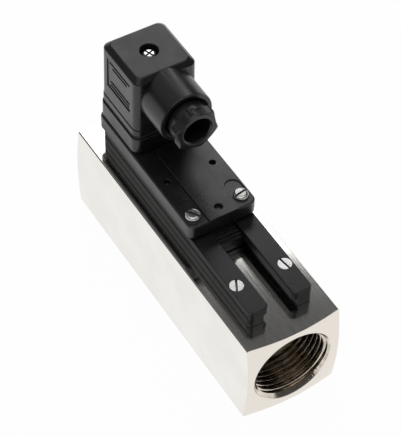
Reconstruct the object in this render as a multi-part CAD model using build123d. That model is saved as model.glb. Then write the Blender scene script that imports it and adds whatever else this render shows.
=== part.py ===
"""Variable area flow switch for a one inch pipe, sizes in millimetres.

The origin is the centre of the bottom face. +X is the direction of flow, +Z points up to the switch.
The flow body is a square bar with a sprung float inside. The switch slides on a rail on its top face.
"""

from build123d import *
import math
import os

os.makedirs("parts", exist_ok=True)

# Flow body, a square bar with a pipe thread in each end
body_length = 130.0
body_edge_bevel = 0.4
port_radius = 16.62
port_wall = 3.38
port_depth = 19.0
port_mouth_bevel = 0.48
end_face_margin = 0.2
end_cone_setback = 1.9
passage_shoulder = 2.62
inlet_stop_step = 1.4
inlet_stop_length = 4.0

# Guide stars, rod and retaining ring
inner_fit = 0.05
star_thickness = 3.0
star_ring_wall = 2.2
star_arm_width = 2.4
star_hub_radius = 4.0
star_hub_overhang = 1.0
star_arms = 3
guide_rod_radius = 2.0
rod_fit = 0.05
rod_head_radius = 3.4
rod_head_length = 2.0
rod_head_round = 1.2
rod_nut_flats = 7.0
rod_nut_thickness = 3.2
rod_end_length = 1.0
retaining_ring_thickness = 1.2
retaining_ring_height = 2.3
retaining_ring_gap_angle = 40.0
ring_groove_depth = 0.9
groove_fit = 0.1

# Measuring sleeve, a tube whose bore opens along the flow
outlet_star_setback = 16.0
sleeve_thick_wall = 4.25
sleeve_thin_wall = 1.35
sleeve_lead_in = 2.5
sleeve_throat_length = 4.5
float_travel = 30.0
seal_wire_radius = 0.9
seal_offset = 9.0

# Float with its ring magnet, and the spring behind it
float_throat_gap = 0.4
float_edge_length = 2.2
float_nose_length = 3.2
float_nose_radius = 2.9
float_tube_step = 1.7
float_tube_length = 20.3
float_wall = 0.9
float_front_gap = 0.3
magnet_length = 12.0
magnet_bore_radius = 2.6
magnet_fit = 0.1
float_cap_thickness = 2.0
float_cap_boss_length = 1.5
spring_fit = 0.15
spring_wire_radius = 0.45
spring_turns = 9.0
spring_end_gap = 0.05

# Guide rail, a fork open towards the outlet with lips over its channel
rail_setback = 10.6
rail_side_margin = 6.3
rail_height = 7.75
rail_slot_width = 10.6
rail_undercut = 2.0
rail_lip_thickness = 4.2
rail_closed_length = 10.0
rail_corner_radius = 2.0
rail_groove_height = 3.6
rail_groove_width = 0.9
rail_groove_depth = 0.4
rail_screw_from_end = 14.3
rail_screw_from_side = 3.2
screw_radius = 1.5
screw_hole_clearance = 0.2
screw_fit = 0.02
tapped_hole_spare = 0.5
rail_screw_head_radius = 2.75
rail_screw_head_height = 1.6
rail_screw_depth = 6.0
screw_slot_width = 0.8
screw_slot_depth = 0.7
rail_screw_turns = (20.0, 65.0, -28.0, 8.0)

# Switch housing, a low tray that slides on the rail
housing_setback = 9.0
housing_length = 70.0
housing_width = 29.5
housing_height = 7.35
housing_corner_radius = 3.0
housing_edge_radius = 0.5
shadow_gap = 1.25
foot_side_inset = 1.45
foot_end_inset = 0.9
tray_side_wall = 9.35
tray_front_wall = 8.0
tray_back_wall = 6.0
tray_floor = 1.6
strip_seat = 1.1
strip_thickness = 1.4
strip_proud = 0.6
strip_overhang = 0.3
strip_fit = 0.1
strip_edge_bevel = 0.2
strip_hole_radius = 1.55
strip_hole_from_front = 4.2
mark_hole_radius = 1.25
mark_hole_depth = 2.5
mark_hole_from_front = 25.0
mark_hole_from_side = 4.75

# Clamp screws, which bear on the rail and lock the switch
clamp_screw_from_front = 5.3
clamp_screw_from_side = 4.25
clamp_screw_end_gap = 0.05
clamp_pocket_length = 11.9
clamp_pocket_width = 6.6
clamp_pocket_depth = 0.5
clamp_pocket_past_screw = 3.0
clamp_head_radius = 3.0
clamp_head_height = 2.1
clamp_head_round = 0.75
left_clamp_turn = 35.0
right_clamp_turn = 100.0
clamp_insert_radius = 2.6
clamp_insert_length = 3.4
clamp_insert_floor = 1.9

# Slide shoe, the T shaped tongue that holds the switch in the rail
shoe_side_fit = 0.2
shoe_lip_gap = 0.3
shoe_floor_gap = 0.6
shoe_end_gap = 0.4
shoe_nose_length = 5.5
shoe_nose_drop = 1.35
shoe_recess = 1.0
shoe_tooth_pitch = 1.8
shoe_tooth_depth = 0.9
shoe_teeth = 3

# Reed switch on its carrier in the tray
reed_radius = 1.2
reed_length = 15.0
reed_end_round = 0.7
reed_lead_radius = 0.3
reed_lead_length = 5.0
reed_lead_fit = 0.02
reed_contact_gap = 0.2
carrier_width = 5.0
carrier_end_margin = 0.5
carrier_height = 1.4
board_side_gap = 0.4
board_front_gap = 1.0
board_from_socket = 13.0
board_thickness = 0.8
wire_radius = 0.6
wire_spacing = 2.4
wire_floor_gap = 0.4
wire_end_gap = 0.05
wire_bend_radius = 1.5
wire_over_housing = 1.5
wire_boss_gap = 0.9
wire_blade_lap = 0.8
wire_blade_gap = 0.4

# Plug socket moulded on the housing
socket_from_back = 14.0
socket_beyond_cap = 0.65
socket_height = 7.9
socket_corner_radius = 3.6
socket_edge_radius = 0.4
socket_foot_height = 0.6
socket_foot_inset = 0.5
socket_wall = 3.4
socket_inner_corner = 1.0
socket_top_thickness = 3.0
socket_insert_radius = 2.6
socket_insert_length = 5.0
socket_insert_depth = 1.0
socket_boss_wall = 1.4
blade_pitch = 18.0
blade_width = 6.0
blade_thickness = 0.8
blade_tip_bevel = 0.28
blade_above_socket = 8.5
blade_below_top = 5.0
blade_fit = 0.2
gasket_thickness = 1.5
gasket_lip_height = 0.5
gasket_lip_proud = 0.2

# Plug, a hollow cap with the cable gland on its side
cap_height = 28.5
cap_draft = 0.4
cap_corner_radius = 3.0
cap_top_bevel = 1.9
cap_rim_height = 2.7
cap_rim_proud = 0.25
cap_wall = 2.05
cap_cavity_corner = 2.0
cap_top_thickness = 3.4
cap_screw_boss_wall = 1.4
cap_screw_boss_height = 2.4
cap_screw_well_radius = 3.6
cap_screw_well_depth = 3.4
plug_head_radius = 2.8
plug_head_height = 2.0
plug_head_round = 0.8
plug_cross_width = 0.9
plug_cross_length = 3.4
plug_cross_turn = 20.0
panel_length = 17.4
panel_height = 14.4
panel_depth = 0.3
panel_corner_radius = 0.8
panel_below_top = 4.6
gland_below_top = 0.1
gland_root_radius = 11.3
gland_end_radius = 11.2
gland_length = 14.4
gland_end_bevel = 0.7
gland_bore_radius = 8.0
gland_mouth_radius = 9.6
gland_mouth_depth = 1.4
gland_throat_radius = 5.6
gland_floor = 1.2
gland_cut_spare = 0.5

# Cable gland inside the plug's boss
gland_seal_length = 5.0
gland_seal_bore = 4.0
gland_washer_thickness = 0.8
gland_washer_bore = 4.8
nut_neck_radius = 8.2
nut_neck_length = 3.7
nut_flats = 16.8
nut_hex_length = 4.3
nut_hollow_length = 7.8
nut_hollow_depth = 0.5
nut_bevel = 0.8
nut_turn = -17.0
nut_bore_radius = 5.6
nut_mouth_bevel = 0.6
gland_fit = 0.1

# Terminal insert inside the plug
insert_fit = 0.3
insert_outer_wall = 0.5
insert_height = 13.0
insert_floor = 2.3
insert_screw_hole_radius = 2.0
terminal_inside_blade = 4.7
terminal_outside_blade = 1.5
terminal_width = 7.0
terminal_height = 8.0
terminal_fit = 0.1
terminal_screw_radius = 1.3
terminal_screw_inside_blade = 3.1
terminal_screw_length = 5.6
terminal_screw_head_radius = 1.5
terminal_screw_head_height = 1.2
terminal_screw_slot = 0.56

# Sizes and places of the flow body and what it holds, worked out from the sizes above
body_side = 2 * (port_radius + port_wall)
axis_height = body_side / 2
end_face_radius = body_side / 2 + end_face_margin
passage_radius = port_radius - passage_shoulder
inner_radius = passage_radius - inner_fit
stop_face = -body_length / 2 + port_depth + inlet_stop_length
sleeve_start = stop_face + star_thickness
outlet_star_end = body_length / 2 - port_depth - outlet_star_setback
sleeve_end = outlet_star_end - star_thickness
throat_start = sleeve_start + sleeve_lead_in
throat_end = throat_start + sleeve_throat_length
throat_radius = inner_radius - sleeve_thick_wall
seal_x = sleeve_start + seal_offset
rod_start = stop_face - star_hub_overhang
rod_nut_start = outlet_star_end + star_hub_overhang
float_radius = throat_radius - float_throat_gap
float_tube_radius = float_radius - float_tube_step
float_front = sleeve_start + star_hub_overhang + float_front_gap
float_edge_start = float_front + float_nose_length
float_tube_start = float_edge_start + float_edge_length
float_end = float_tube_start + float_tube_length

# Sizes and places of the rail and the switch
rail_length = body_length - 2 * rail_setback
rail_width = body_side - 2 * rail_side_margin
rail_channel_width = rail_slot_width + 2 * rail_undercut
rail_top = body_side + rail_height
rail_lip_bottom = rail_top - rail_lip_thickness
rail_slot_start = -rail_length / 2 + rail_closed_length
rail_screw_x = rail_length / 2 - rail_screw_from_end
rail_screw_y = rail_width / 2 - rail_screw_from_side
housing_back = -body_length / 2 + housing_setback
housing_front = housing_back + housing_length
housing_middle = (housing_front + housing_back) / 2
housing_top = rail_top + housing_height
skirt_bottom = rail_top + shadow_gap
tray_start = housing_back + tray_back_wall
tray_end = housing_front - tray_front_wall
tray_width = housing_width - 2 * tray_side_wall
tray_bottom = skirt_bottom + tray_floor
strip_width = tray_width + 2 * strip_seat
strip_bottom = housing_top + strip_proud - strip_thickness
strip_hole_x = housing_front - strip_hole_from_front
clamp_screw_x = housing_front - clamp_screw_from_front
clamp_screw_y = housing_width / 2 - clamp_screw_from_side
clamp_insert_bottom = rail_top + clamp_insert_floor
shoe_start = rail_slot_start + shoe_end_gap
shoe_neck = rail_slot_width / 2 - shoe_side_fit
socket_x = housing_back + socket_from_back
terminal_room = terminal_outside_blade + terminal_fit + insert_outer_wall + insert_fit
cap_cavity_side = blade_pitch + 2 * terminal_room
cap_side = cap_cavity_side + 2 * cap_wall
socket_side = cap_side + 2 * socket_beyond_cap
socket_front = socket_x + socket_side / 2
socket_top = housing_top + socket_height
socket_insert_top = socket_top - socket_insert_depth
socket_boss_radius = socket_insert_radius + socket_boss_wall
blade_place = blade_pitch / 2
blade_bottom = socket_top - blade_below_top
board_start = socket_x + board_from_socket
board_end = tray_end - board_front_gap
reed_reach = reed_length / 2 + reed_lead_length
carrier_reach = reed_reach + carrier_end_margin
reed_x = board_end - carrier_reach
reed_z = tray_bottom + board_thickness + carrier_height

# Sizes and places of the plug and its gland
gasket_top = socket_top + gasket_thickness
rim_side = cap_side + 2 * cap_rim_proud
cap_top = gasket_top + cap_height
cap_cavity_top = cap_top - cap_top_thickness
cap_screw_seat = cap_top - cap_screw_well_depth
insert_pocket_floor = gasket_top + insert_floor
terminal_top = insert_pocket_floor + terminal_height
gland_z = cap_top - gland_below_top - gland_root_radius
gland_wall = socket_x + cap_side / 2
gland_end = gland_wall + gland_length
gland_seal_start = gland_wall + gland_floor
gland_washer_start = gland_seal_start + gland_seal_length
gland_nut_start = gland_washer_start + gland_washer_thickness
nut_hollow_radius = (nut_hollow_length**2 / 4 + nut_hollow_depth**2) / (2 * nut_hollow_depth)


def span_box(x0, x1, y0, y1, z0, z1):
    """Block between two corners."""
    return Pos((x0 + x1) / 2, (y0 + y1) / 2, (z0 + z1) / 2) * Box(x1 - x0, y1 - y0, z1 - z0)


def upright(radius, x, y, z0, z1):
    """Cylinder along Z."""
    return Pos(x, y, (z0 + z1) / 2) * Cylinder(radius, z1 - z0)


def along_flow(radius, x0, x1, z=axis_height):
    """Cylinder along X, on the flow axis unless z says otherwise."""
    return Pos((x0 + x1) / 2, 0, z) * Rot(0, 90, 0) * Cylinder(radius, x1 - x0)


def turned(points, z=axis_height):
    """Turned piece about a line along X, from (x, radius) points."""
    outline = make_face(Polyline(*[(x, 0, r) for x, r in points], close=True))
    return Pos(0, 0, z) * revolve(outline, Axis.X)


def rounded_block(x, length, width, corner, z0, z1, draft=0.0):
    """Upright block with rounded corners, centred on x."""
    outline = Pos(x, 0, z0) * RectangleRounded(length, width, corner)
    return extrude(outline, amount=z1 - z0, taper=draft)


def hexagon(flats, x0, x1, z, turn=0.0):
    """Hexagonal prism along X with one flat on top, turned about X."""
    outline = RegularPolygon(flats / 2, 6, major_radius=False, rotation=0)
    return Pos(0, 0, z) * extrude(Plane.YZ.offset(x0) * Rot(0, 0, turn) * outline, amount=x1 - x0)


def save(name, shape):
    """Write one named piece, a single solid or a group of alike solids."""
    solids = shape if isinstance(shape, list) else shape.solids()
    piece = solids[0] if len(solids) == 1 else Compound(children=list(solids))
    export_step(piece, os.path.join("parts", name + ".step"))


def make_flow_body():
    """Square bar with turned ends, two threaded ports, a stepped passage and tapped holes on top."""
    half = body_length / 2
    corner_radius = math.hypot(body_side / 2, body_side / 2)
    bar = span_box(-half, half, -body_side / 2, body_side / 2, 0, body_side)
    bar = chamfer(bar.edges().filter_by(Axis.X), body_edge_bevel)
    slope = end_cone_setback / (corner_radius - end_face_radius)
    reach = corner_radius + body_edge_bevel
    fall = slope * (reach - end_face_radius)
    bar &= turned(
        [
            (-half, 0),
            (-half, end_face_radius),
            (-half + fall, reach),
            (half - fall, reach),
            (half, end_face_radius),
            (half, 0),
        ]
    )
    port_end = half - port_depth
    mouth = half - port_mouth_bevel
    mouth_radius = port_radius + port_mouth_bevel
    stop_radius = passage_radius - inlet_stop_step
    bar -= turned(
        [
            (-half, 0),
            (-half, mouth_radius),
            (-mouth, port_radius),
            (-port_end, port_radius),
            (-port_end, stop_radius),
            (stop_face, stop_radius),
            (stop_face, passage_radius),
            (port_end, passage_radius),
            (port_end, port_radius),
            (mouth, port_radius),
            (half, mouth_radius),
            (half, 0),
        ]
    )
    bar -= along_flow(
        passage_radius + ring_groove_depth,
        outlet_star_end,
        outlet_star_end + retaining_ring_thickness + groove_fit,
    )
    hole_bottom = body_side - rail_screw_depth - tapped_hole_spare
    for x in (-rail_screw_x, rail_screw_x):
        for y in (-rail_screw_y, rail_screw_y):
            bar -= upright(screw_radius, x, y, hole_bottom, body_side)
    return bar


def make_star(start):
    """Guide star: a ring, its arms and a hub bored for the rod."""
    ring_inner = inner_radius - star_ring_wall
    star = along_flow(inner_radius, start, start + star_thickness)
    star -= along_flow(ring_inner, start, start + star_thickness)
    hub_start = start - star_hub_overhang
    hub_end = start + star_thickness + star_hub_overhang
    star += along_flow(star_hub_radius, hub_start, hub_end)
    arm_reach = inner_radius - star_ring_wall / 2
    for i in range(star_arms):
        arm = span_box(
            start, start + star_thickness, -star_arm_width / 2, star_arm_width / 2, 0, arm_reach
        )
        star += Pos(0, 0, axis_height) * Rot(360 / star_arms * i, 0, 0) * arm
    return star - along_flow(guide_rod_radius + rod_fit, hub_start, hub_end)


def make_guide_rod():
    """Rod with a domed head at the inlet, long enough for its nut at the outlet."""
    end = rod_nut_start + rod_nut_thickness + rod_end_length
    head = along_flow(rod_head_radius, rod_start - rod_head_length, rod_start)
    head = fillet(head.edges().group_by(Axis.X)[0], rod_head_round)
    return head + along_flow(guide_rod_radius, rod_start, end)


def make_rod_nut():
    """Hexagon nut that ties the two stars together."""
    end = rod_nut_start + rod_nut_thickness
    nut = hexagon(rod_nut_flats, rod_nut_start, end, axis_height)
    return nut - along_flow(guide_rod_radius + rod_fit, rod_nut_start, end)


def make_retaining_ring():
    """Open spring ring in its groove behind the outlet star."""
    outer = passage_radius + ring_groove_depth - groove_fit
    start = outlet_star_end + groove_fit / 2
    end = start + retaining_ring_thickness
    ring = along_flow(outer, start, end) - along_flow(outer - retaining_ring_height, start, end)
    half_gap = math.radians(retaining_ring_gap_angle / 2)
    reach = 2 * outer
    wedge = make_face(
        Polyline(
            (0, 0, 0),
            (0, reach * math.sin(half_gap), -reach * math.cos(half_gap)),
            (0, -reach * math.sin(half_gap), -reach * math.cos(half_gap)),
            close=True,
        )
    )
    return ring - Pos(start, 0, axis_height) * extrude(wedge, amount=end - start, dir=(1, 0, 0))


def make_measuring_sleeve():
    """Tube with a throat round the float at rest and a bore that opens along the float's travel."""
    taper_end = throat_end + float_travel
    open_radius = inner_radius - sleeve_thin_wall
    sleeve = turned(
        [
            (sleeve_start, inner_radius - star_ring_wall),
            (throat_start, throat_radius),
            (throat_end, throat_radius),
            (taper_end, open_radius),
            (sleeve_end, open_radius),
            (sleeve_end, inner_radius),
            (sleeve_start, inner_radius),
        ]
    )
    reach = seal_wire_radius + groove_fit
    groove = along_flow(passage_radius, seal_x - reach, seal_x + reach)
    groove -= along_flow(inner_radius - 2 * seal_wire_radius, seal_x - reach, seal_x + reach)
    return sleeve - groove


def make_sleeve_seal():
    """O-ring between the sleeve and the passage."""
    ring = Torus(inner_radius - seal_wire_radius, seal_wire_radius - inner_fit / 2)
    return Pos(seal_x, 0, axis_height) * Rot(0, 90, 0) * ring


def make_float():
    """Hollow float: a cone nose, a sharp measuring edge and a tube for the magnet."""
    bore = guide_rod_radius + rod_fit
    chamber = float_tube_radius - float_wall
    return turned(
        [
            (float_front, bore),
            (float_front, float_nose_radius),
            (float_edge_start, float_radius),
            (float_tube_start, float_radius),
            (float_tube_start, float_tube_radius),
            (float_end, float_tube_radius),
            (float_end, chamber),
            (float_tube_start, chamber),
            (float_tube_start, bore),
        ]
    )


def make_float_magnet():
    """Ring magnet against the float's cap."""
    end = float_end - float_cap_thickness
    outer = float_tube_radius - float_wall - magnet_fit
    ring = along_flow(outer, end - magnet_length, end)
    return ring - along_flow(magnet_bore_radius, end - magnet_length, end)


def make_float_cap():
    """Cap that closes the float's tube and centres the spring."""
    chamber = float_tube_radius - float_wall - inner_fit
    start = float_end - float_cap_thickness
    cap = along_flow(chamber, start, float_end)
    cap += along_flow(star_hub_radius, float_end, float_end + float_cap_boss_length)
    return cap - along_flow(guide_rod_radius + rod_fit, start, float_end + float_cap_boss_length)


def make_return_spring():
    """Compression spring round the hub of the outlet star and the boss of the float's cap."""
    start = float_end + spring_wire_radius + spring_end_gap
    end = sleeve_end - spring_wire_radius - spring_end_gap
    radius = star_hub_radius + spring_fit + spring_wire_radius
    path = Helix(pitch=(end - start) / spring_turns, height=end - start, radius=radius)
    section = Plane(origin=path @ 0, z_dir=path % 0) * Circle(spring_wire_radius)
    coil = sweep(section, path=path, is_frenet=True)
    return Pos(start, 0, axis_height) * Rot(0, 90, 0) * coil


def make_rail_frame():
    """Fork shaped rail with an undercut channel, rounded ends and four countersunk holes."""
    half = rail_length / 2
    rail = span_box(-half, half, -rail_width / 2, rail_width / 2, body_side, rail_top)
    slot = rail_slot_width / 2
    channel = rail_channel_width / 2
    rail -= span_box(rail_slot_start, half, -slot, slot, body_side, rail_top)
    corners = rail.edges().filter_by(Axis.Z).group_by(Axis.X)
    rail = fillet(corners[0] + corners[-1], rail_corner_radius)
    rail -= span_box(rail_slot_start, half, -channel, channel, body_side, rail_lip_bottom)
    groove_z = body_side + rail_groove_height
    groove = span_box(-half, half, -rail_width / 2, rail_width / 2, groove_z, groove_z + rail_groove_width)
    core = rail_width / 2 - rail_groove_depth
    groove -= span_box(-half, half, -core, core, groove_z, groove_z + rail_groove_width)
    rail -= groove
    for x in (-rail_screw_x, rail_screw_x):
        for y in (-rail_screw_y, rail_screw_y):
            rail -= upright(screw_radius + screw_hole_clearance, x, y, body_side, rail_top)
            rail -= countersink(x, y)
    return rail


def countersink(x, y):
    """Conical seat of a rail screw's head."""
    middle = rail_top - rail_screw_head_height / 2
    bottom_radius = screw_radius + screw_hole_clearance
    top_radius = rail_screw_head_radius + screw_hole_clearance
    return Pos(x, y, middle) * Cone(bottom_radius, top_radius, rail_screw_head_height)


def make_rail_screws():
    """Four slotted countersunk screws, two of them under the switch."""
    screws = []
    shank = screw_radius - screw_fit
    head_bottom = rail_top - rail_screw_head_height
    corners = [(-1, -1), (-1, 1), (1, -1), (1, 1)]
    for (side_x, side_y), turn in zip(corners, rail_screw_turns):
        x = side_x * rail_screw_x
        y = side_y * rail_screw_y
        head = Cone(shank, rail_screw_head_radius, rail_screw_head_height)
        screw = Pos(x, y, (head_bottom + rail_top) / 2) * head
        screw += upright(shank, x, y, body_side - rail_screw_depth, head_bottom)
        slot = Box(4 * rail_screw_head_radius, screw_slot_width, screw_slot_depth)
        screw -= Pos(x, y, rail_top - screw_slot_depth / 2) * Rot(0, 0, turn) * slot
        screws += screw.solids()
    return screws


def make_switch_housing():
    """Low tray on a narrower foot, with a seat for the cover strip and pockets for the clamp screws."""
    body = rounded_block(
        housing_middle, housing_length, housing_width, housing_corner_radius, skirt_bottom, housing_top
    )
    body = fillet(body.edges().group_by(Axis.Z)[-1], housing_edge_radius)
    foot_length = housing_length - 2 * foot_end_inset
    foot_width = housing_width - 2 * foot_side_inset
    foot_corner = housing_corner_radius - foot_end_inset
    body += rounded_block(housing_middle, foot_length, foot_width, foot_corner, rail_top, skirt_bottom)
    body -= span_box(tray_start, tray_end, -tray_width / 2, tray_width / 2, tray_bottom, housing_top)
    seat = strip_width / 2 + strip_fit
    body -= span_box(socket_front, housing_front, -seat, seat, strip_bottom, housing_top)
    recess = shoe_neck + inner_fit
    shoe_front = housing_front - foot_end_inset
    body -= span_box(
        shoe_start - inner_fit, shoe_front + inner_fit, -recess, recess, rail_top, rail_top + shoe_recess
    )
    hole_bottom = housing_top - mark_hole_depth
    body -= upright(strip_hole_radius, strip_hole_x, 0, hole_bottom, housing_top)
    mark_hole_x = housing_front - mark_hole_from_front
    mark_hole_y = housing_width / 2 - mark_hole_from_side
    for side in (-1, 1):
        body -= upright(mark_hole_radius, mark_hole_x, side * mark_hole_y, hole_bottom, housing_top)
        body -= clamp_cuts(side)
    return body


def clamp_cuts(side):
    """Oblong pocket, hole and bush seat of one clamp screw."""
    y = side * clamp_screw_y
    pocket_x = clamp_screw_x + clamp_pocket_past_screw - clamp_pocket_length / 2
    outline = SlotOverall(clamp_pocket_length, clamp_pocket_width)
    pocket = Pos(pocket_x, y, housing_top - clamp_pocket_depth) * outline
    hole = upright(screw_radius + screw_hole_clearance, clamp_screw_x, y, rail_top, housing_top)
    bush_top = clamp_insert_bottom + clamp_insert_length
    seat = upright(clamp_insert_radius + inner_fit, clamp_screw_x, y, clamp_insert_bottom, bush_top)
    return extrude(pocket, amount=clamp_pocket_depth) + hole + seat


def make_cover_strip():
    """Raised strip that closes the tray between the socket and the front."""
    start = socket_front + strip_fit
    end = housing_front + strip_overhang
    top = strip_bottom + strip_thickness
    strip = span_box(start, end, -strip_width / 2, strip_width / 2, strip_bottom, top)
    strip = chamfer(strip.faces().sort_by(Axis.Z)[-1].edges(), strip_edge_bevel)
    return strip - upright(strip_hole_radius, strip_hole_x, 0, strip_bottom, top)


def make_clamp_inserts():
    """Threaded bushes moulded into the housing."""
    top = clamp_insert_bottom + clamp_insert_length
    bushes = []
    for side in (-1, 1):
        y = side * clamp_screw_y
        bush = upright(clamp_insert_radius, clamp_screw_x, y, clamp_insert_bottom, top)
        bush -= upright(screw_radius + screw_fit, clamp_screw_x, y, clamp_insert_bottom, top)
        bushes += bush.solids()
    return bushes


def make_clamp_screw(side, slot_turn):
    """Slotted pan head screw whose end bears on the rail."""
    y = side * clamp_screw_y
    seat = housing_top - clamp_pocket_depth
    head_top = seat + clamp_head_height
    head = upright(clamp_head_radius, clamp_screw_x, y, seat, head_top)
    head = fillet(head.edges().group_by(Axis.Z)[-1], clamp_head_round)
    slot = Box(4 * clamp_head_radius, screw_slot_width, screw_slot_depth)
    head -= Pos(clamp_screw_x, y, head_top - screw_slot_depth / 2) * Rot(0, 0, slot_turn) * slot
    end = rail_top + clamp_screw_end_gap
    return head + upright(screw_radius - screw_fit, clamp_screw_x, y, end, seat)


def make_slide_shoe():
    """T shaped tongue: a neck between the lips, a foot under them and teeth on its nose."""
    front = housing_front - foot_end_inset
    nose = housing_front + shoe_nose_length
    nose_top = rail_top - shoe_nose_drop
    foot = rail_channel_width / 2 - shoe_side_fit
    foot_top = rail_lip_bottom - shoe_lip_gap
    shoe = span_box(shoe_start, front, -shoe_neck, shoe_neck, foot_top, rail_top + shoe_recess)
    shoe += span_box(front, nose, -shoe_neck, shoe_neck, foot_top, nose_top)
    shoe += span_box(shoe_start, nose, -foot, foot, body_side + shoe_floor_gap, foot_top)
    for i in range(shoe_teeth):
        x = nose - shoe_tooth_pitch * (i + 0.5)
        end = x + shoe_tooth_pitch / 2
        shoe -= span_box(x, end, -shoe_neck, shoe_neck, nose_top - shoe_tooth_depth, nose_top)
    return shoe


def make_circuit_board():
    """Board on the tray's floor."""
    half = tray_width / 2 - board_side_gap
    return span_box(board_start, board_end, -half, half, tray_bottom, tray_bottom + board_thickness)


def make_reed_carrier():
    """Cradle that holds the reed switch on the board."""
    start = reed_x - carrier_reach
    end = reed_x + carrier_reach
    bottom = tray_bottom + board_thickness
    cradle = span_box(start, end, -carrier_width / 2, carrier_width / 2, bottom, reed_z)
    return cradle - along_flow(reed_radius + groove_fit, start, end, reed_z)


def make_reed_switch():
    """Glass tube with rounded ends, bored for its blades."""
    start = reed_x - reed_length / 2
    end = reed_x + reed_length / 2
    tube = along_flow(reed_radius, start, end, reed_z)
    tube = fillet(tube.edges(), reed_end_round)
    return tube - along_flow(reed_lead_radius + reed_lead_fit, start, end, reed_z)


def make_reed_blades():
    """Two contact blades that meet with a small gap inside the glass, with their leads."""
    gap = reed_contact_gap / 2
    left = along_flow(reed_lead_radius, reed_x - reed_reach, reed_x - gap, reed_z)
    right = along_flow(reed_lead_radius, reed_x + gap, reed_x + reed_reach, reed_z)
    return left.solids() + right.solids()


def make_lead_wires():
    """Three wires from the board up to the blades of the socket."""
    start = board_start - wire_end_gap
    z = tray_bottom + wire_floor_gap + wire_radius
    front_blade_x = socket_x + blade_place
    routes = [[(start, 0, z), (front_blade_x, 0, z), (front_blade_x, 0, blade_bottom - wire_end_gap)]]
    over_z = housing_top + wire_over_housing
    around_boss = socket_boss_radius + wire_radius + wire_boss_gap
    for side in (-1, 1):
        near_y = side * wire_spacing
        blade_y = side * (blade_place - blade_thickness / 2 - wire_blade_gap)
        routes.append(
            [
                (start, near_y, z),
                (socket_x + around_boss, near_y, z),
                (socket_x + around_boss, near_y, over_z),
                (socket_x, side * around_boss, over_z),
                (socket_x, blade_y, blade_bottom + wire_blade_lap),
            ]
        )
    wires = []
    for points in routes:
        path = FilletPolyline(*points, radius=wire_bend_radius)
        section = Plane(origin=path @ 0, z_dir=path % 0) * Circle(wire_radius)
        wires += sweep(section, path=path).solids()
    return wires


def blade_places():
    """Centre and turn of the three contact blades, then of the earth blade."""
    return [(blade_place, 0, 0), (-blade_place, 0, 180), (0, blade_place, 90), (0, -blade_place, -90)]


def make_plug_socket():
    """Socket block: open below for the wires, with slots for the blades and a boss for the screw."""
    foot_side = socket_side - 2 * socket_foot_inset
    foot_corner = socket_corner_radius - socket_foot_inset
    foot_top = housing_top + socket_foot_height
    block = rounded_block(socket_x, socket_side, socket_side, socket_corner_radius, foot_top, socket_top)
    block = fillet(block.edges().group_by(Axis.Z)[-1], socket_edge_radius)
    block += rounded_block(socket_x, foot_side, foot_side, foot_corner, housing_top, foot_top)
    inner = socket_side - 2 * socket_wall
    ceiling = socket_top - socket_top_thickness
    block -= rounded_block(socket_x, inner, inner, socket_inner_corner, housing_top, ceiling)
    block += upright(socket_boss_radius, socket_x, 0, housing_top, ceiling)
    block -= upright(screw_radius + screw_hole_clearance, socket_x, 0, housing_top, socket_top)
    bush_bottom = socket_insert_top - socket_insert_length
    block -= upright(socket_insert_radius + inner_fit, socket_x, 0, bush_bottom, socket_insert_top)
    return block - blade_cuts(blade_fit, ceiling, socket_top)


def blade_cuts(fit, z0, z1):
    """Four upright slots for the blades."""
    cuts = []
    for x, y, turn in blade_places():
        slot = Box(blade_thickness + 2 * fit, blade_width + 2 * fit, z1 - z0)
        cuts.append(Pos(socket_x + x, y, (z0 + z1) / 2) * Rot(0, 0, turn) * slot)
    return cuts[0] + cuts[1] + cuts[2] + cuts[3]


def make_socket_insert():
    """Threaded bush that takes the plug's screw."""
    bottom = socket_insert_top - socket_insert_length
    bush = upright(socket_insert_radius, socket_x, 0, bottom, socket_insert_top)
    return bush - upright(screw_radius + screw_fit, socket_x, 0, bottom, socket_insert_top)


def make_blade(x, y, turn):
    """One flat contact blade with a bevelled tip."""
    top = socket_top + blade_above_socket
    blade = Box(blade_thickness, blade_width, top - blade_bottom)
    blade = chamfer(blade.edges().filter_by(Axis.Y).group_by(Axis.Z)[-1], blade_tip_bevel)
    return Pos(socket_x + x, y, (top + blade_bottom) / 2) * Rot(0, 0, turn) * blade


def make_contact_blades():
    """Line contacts of the socket."""
    blades = []
    for place in blade_places()[:3]:
        blades += make_blade(*place).solids()
    return blades


def make_earth_blade():
    """Earth contact of the socket."""
    return make_blade(*blade_places()[3])


def make_flat_gasket():
    """Square rubber gasket between the socket and the plug."""
    side = rim_side - 2 * gasket_lip_proud
    corner = cap_corner_radius - gasket_lip_proud
    middle = (socket_top + gasket_top) / 2
    lip = gasket_lip_height / 2
    gasket = rounded_block(socket_x, side, side, corner, socket_top, gasket_top)
    gasket += rounded_block(socket_x, rim_side, rim_side, cap_corner_radius, middle - lip, middle + lip)
    gasket -= upright(insert_screw_hole_radius, socket_x, 0, socket_top, gasket_top)
    return gasket - blade_cuts(2 * blade_fit, socket_top, gasket_top)


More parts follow.
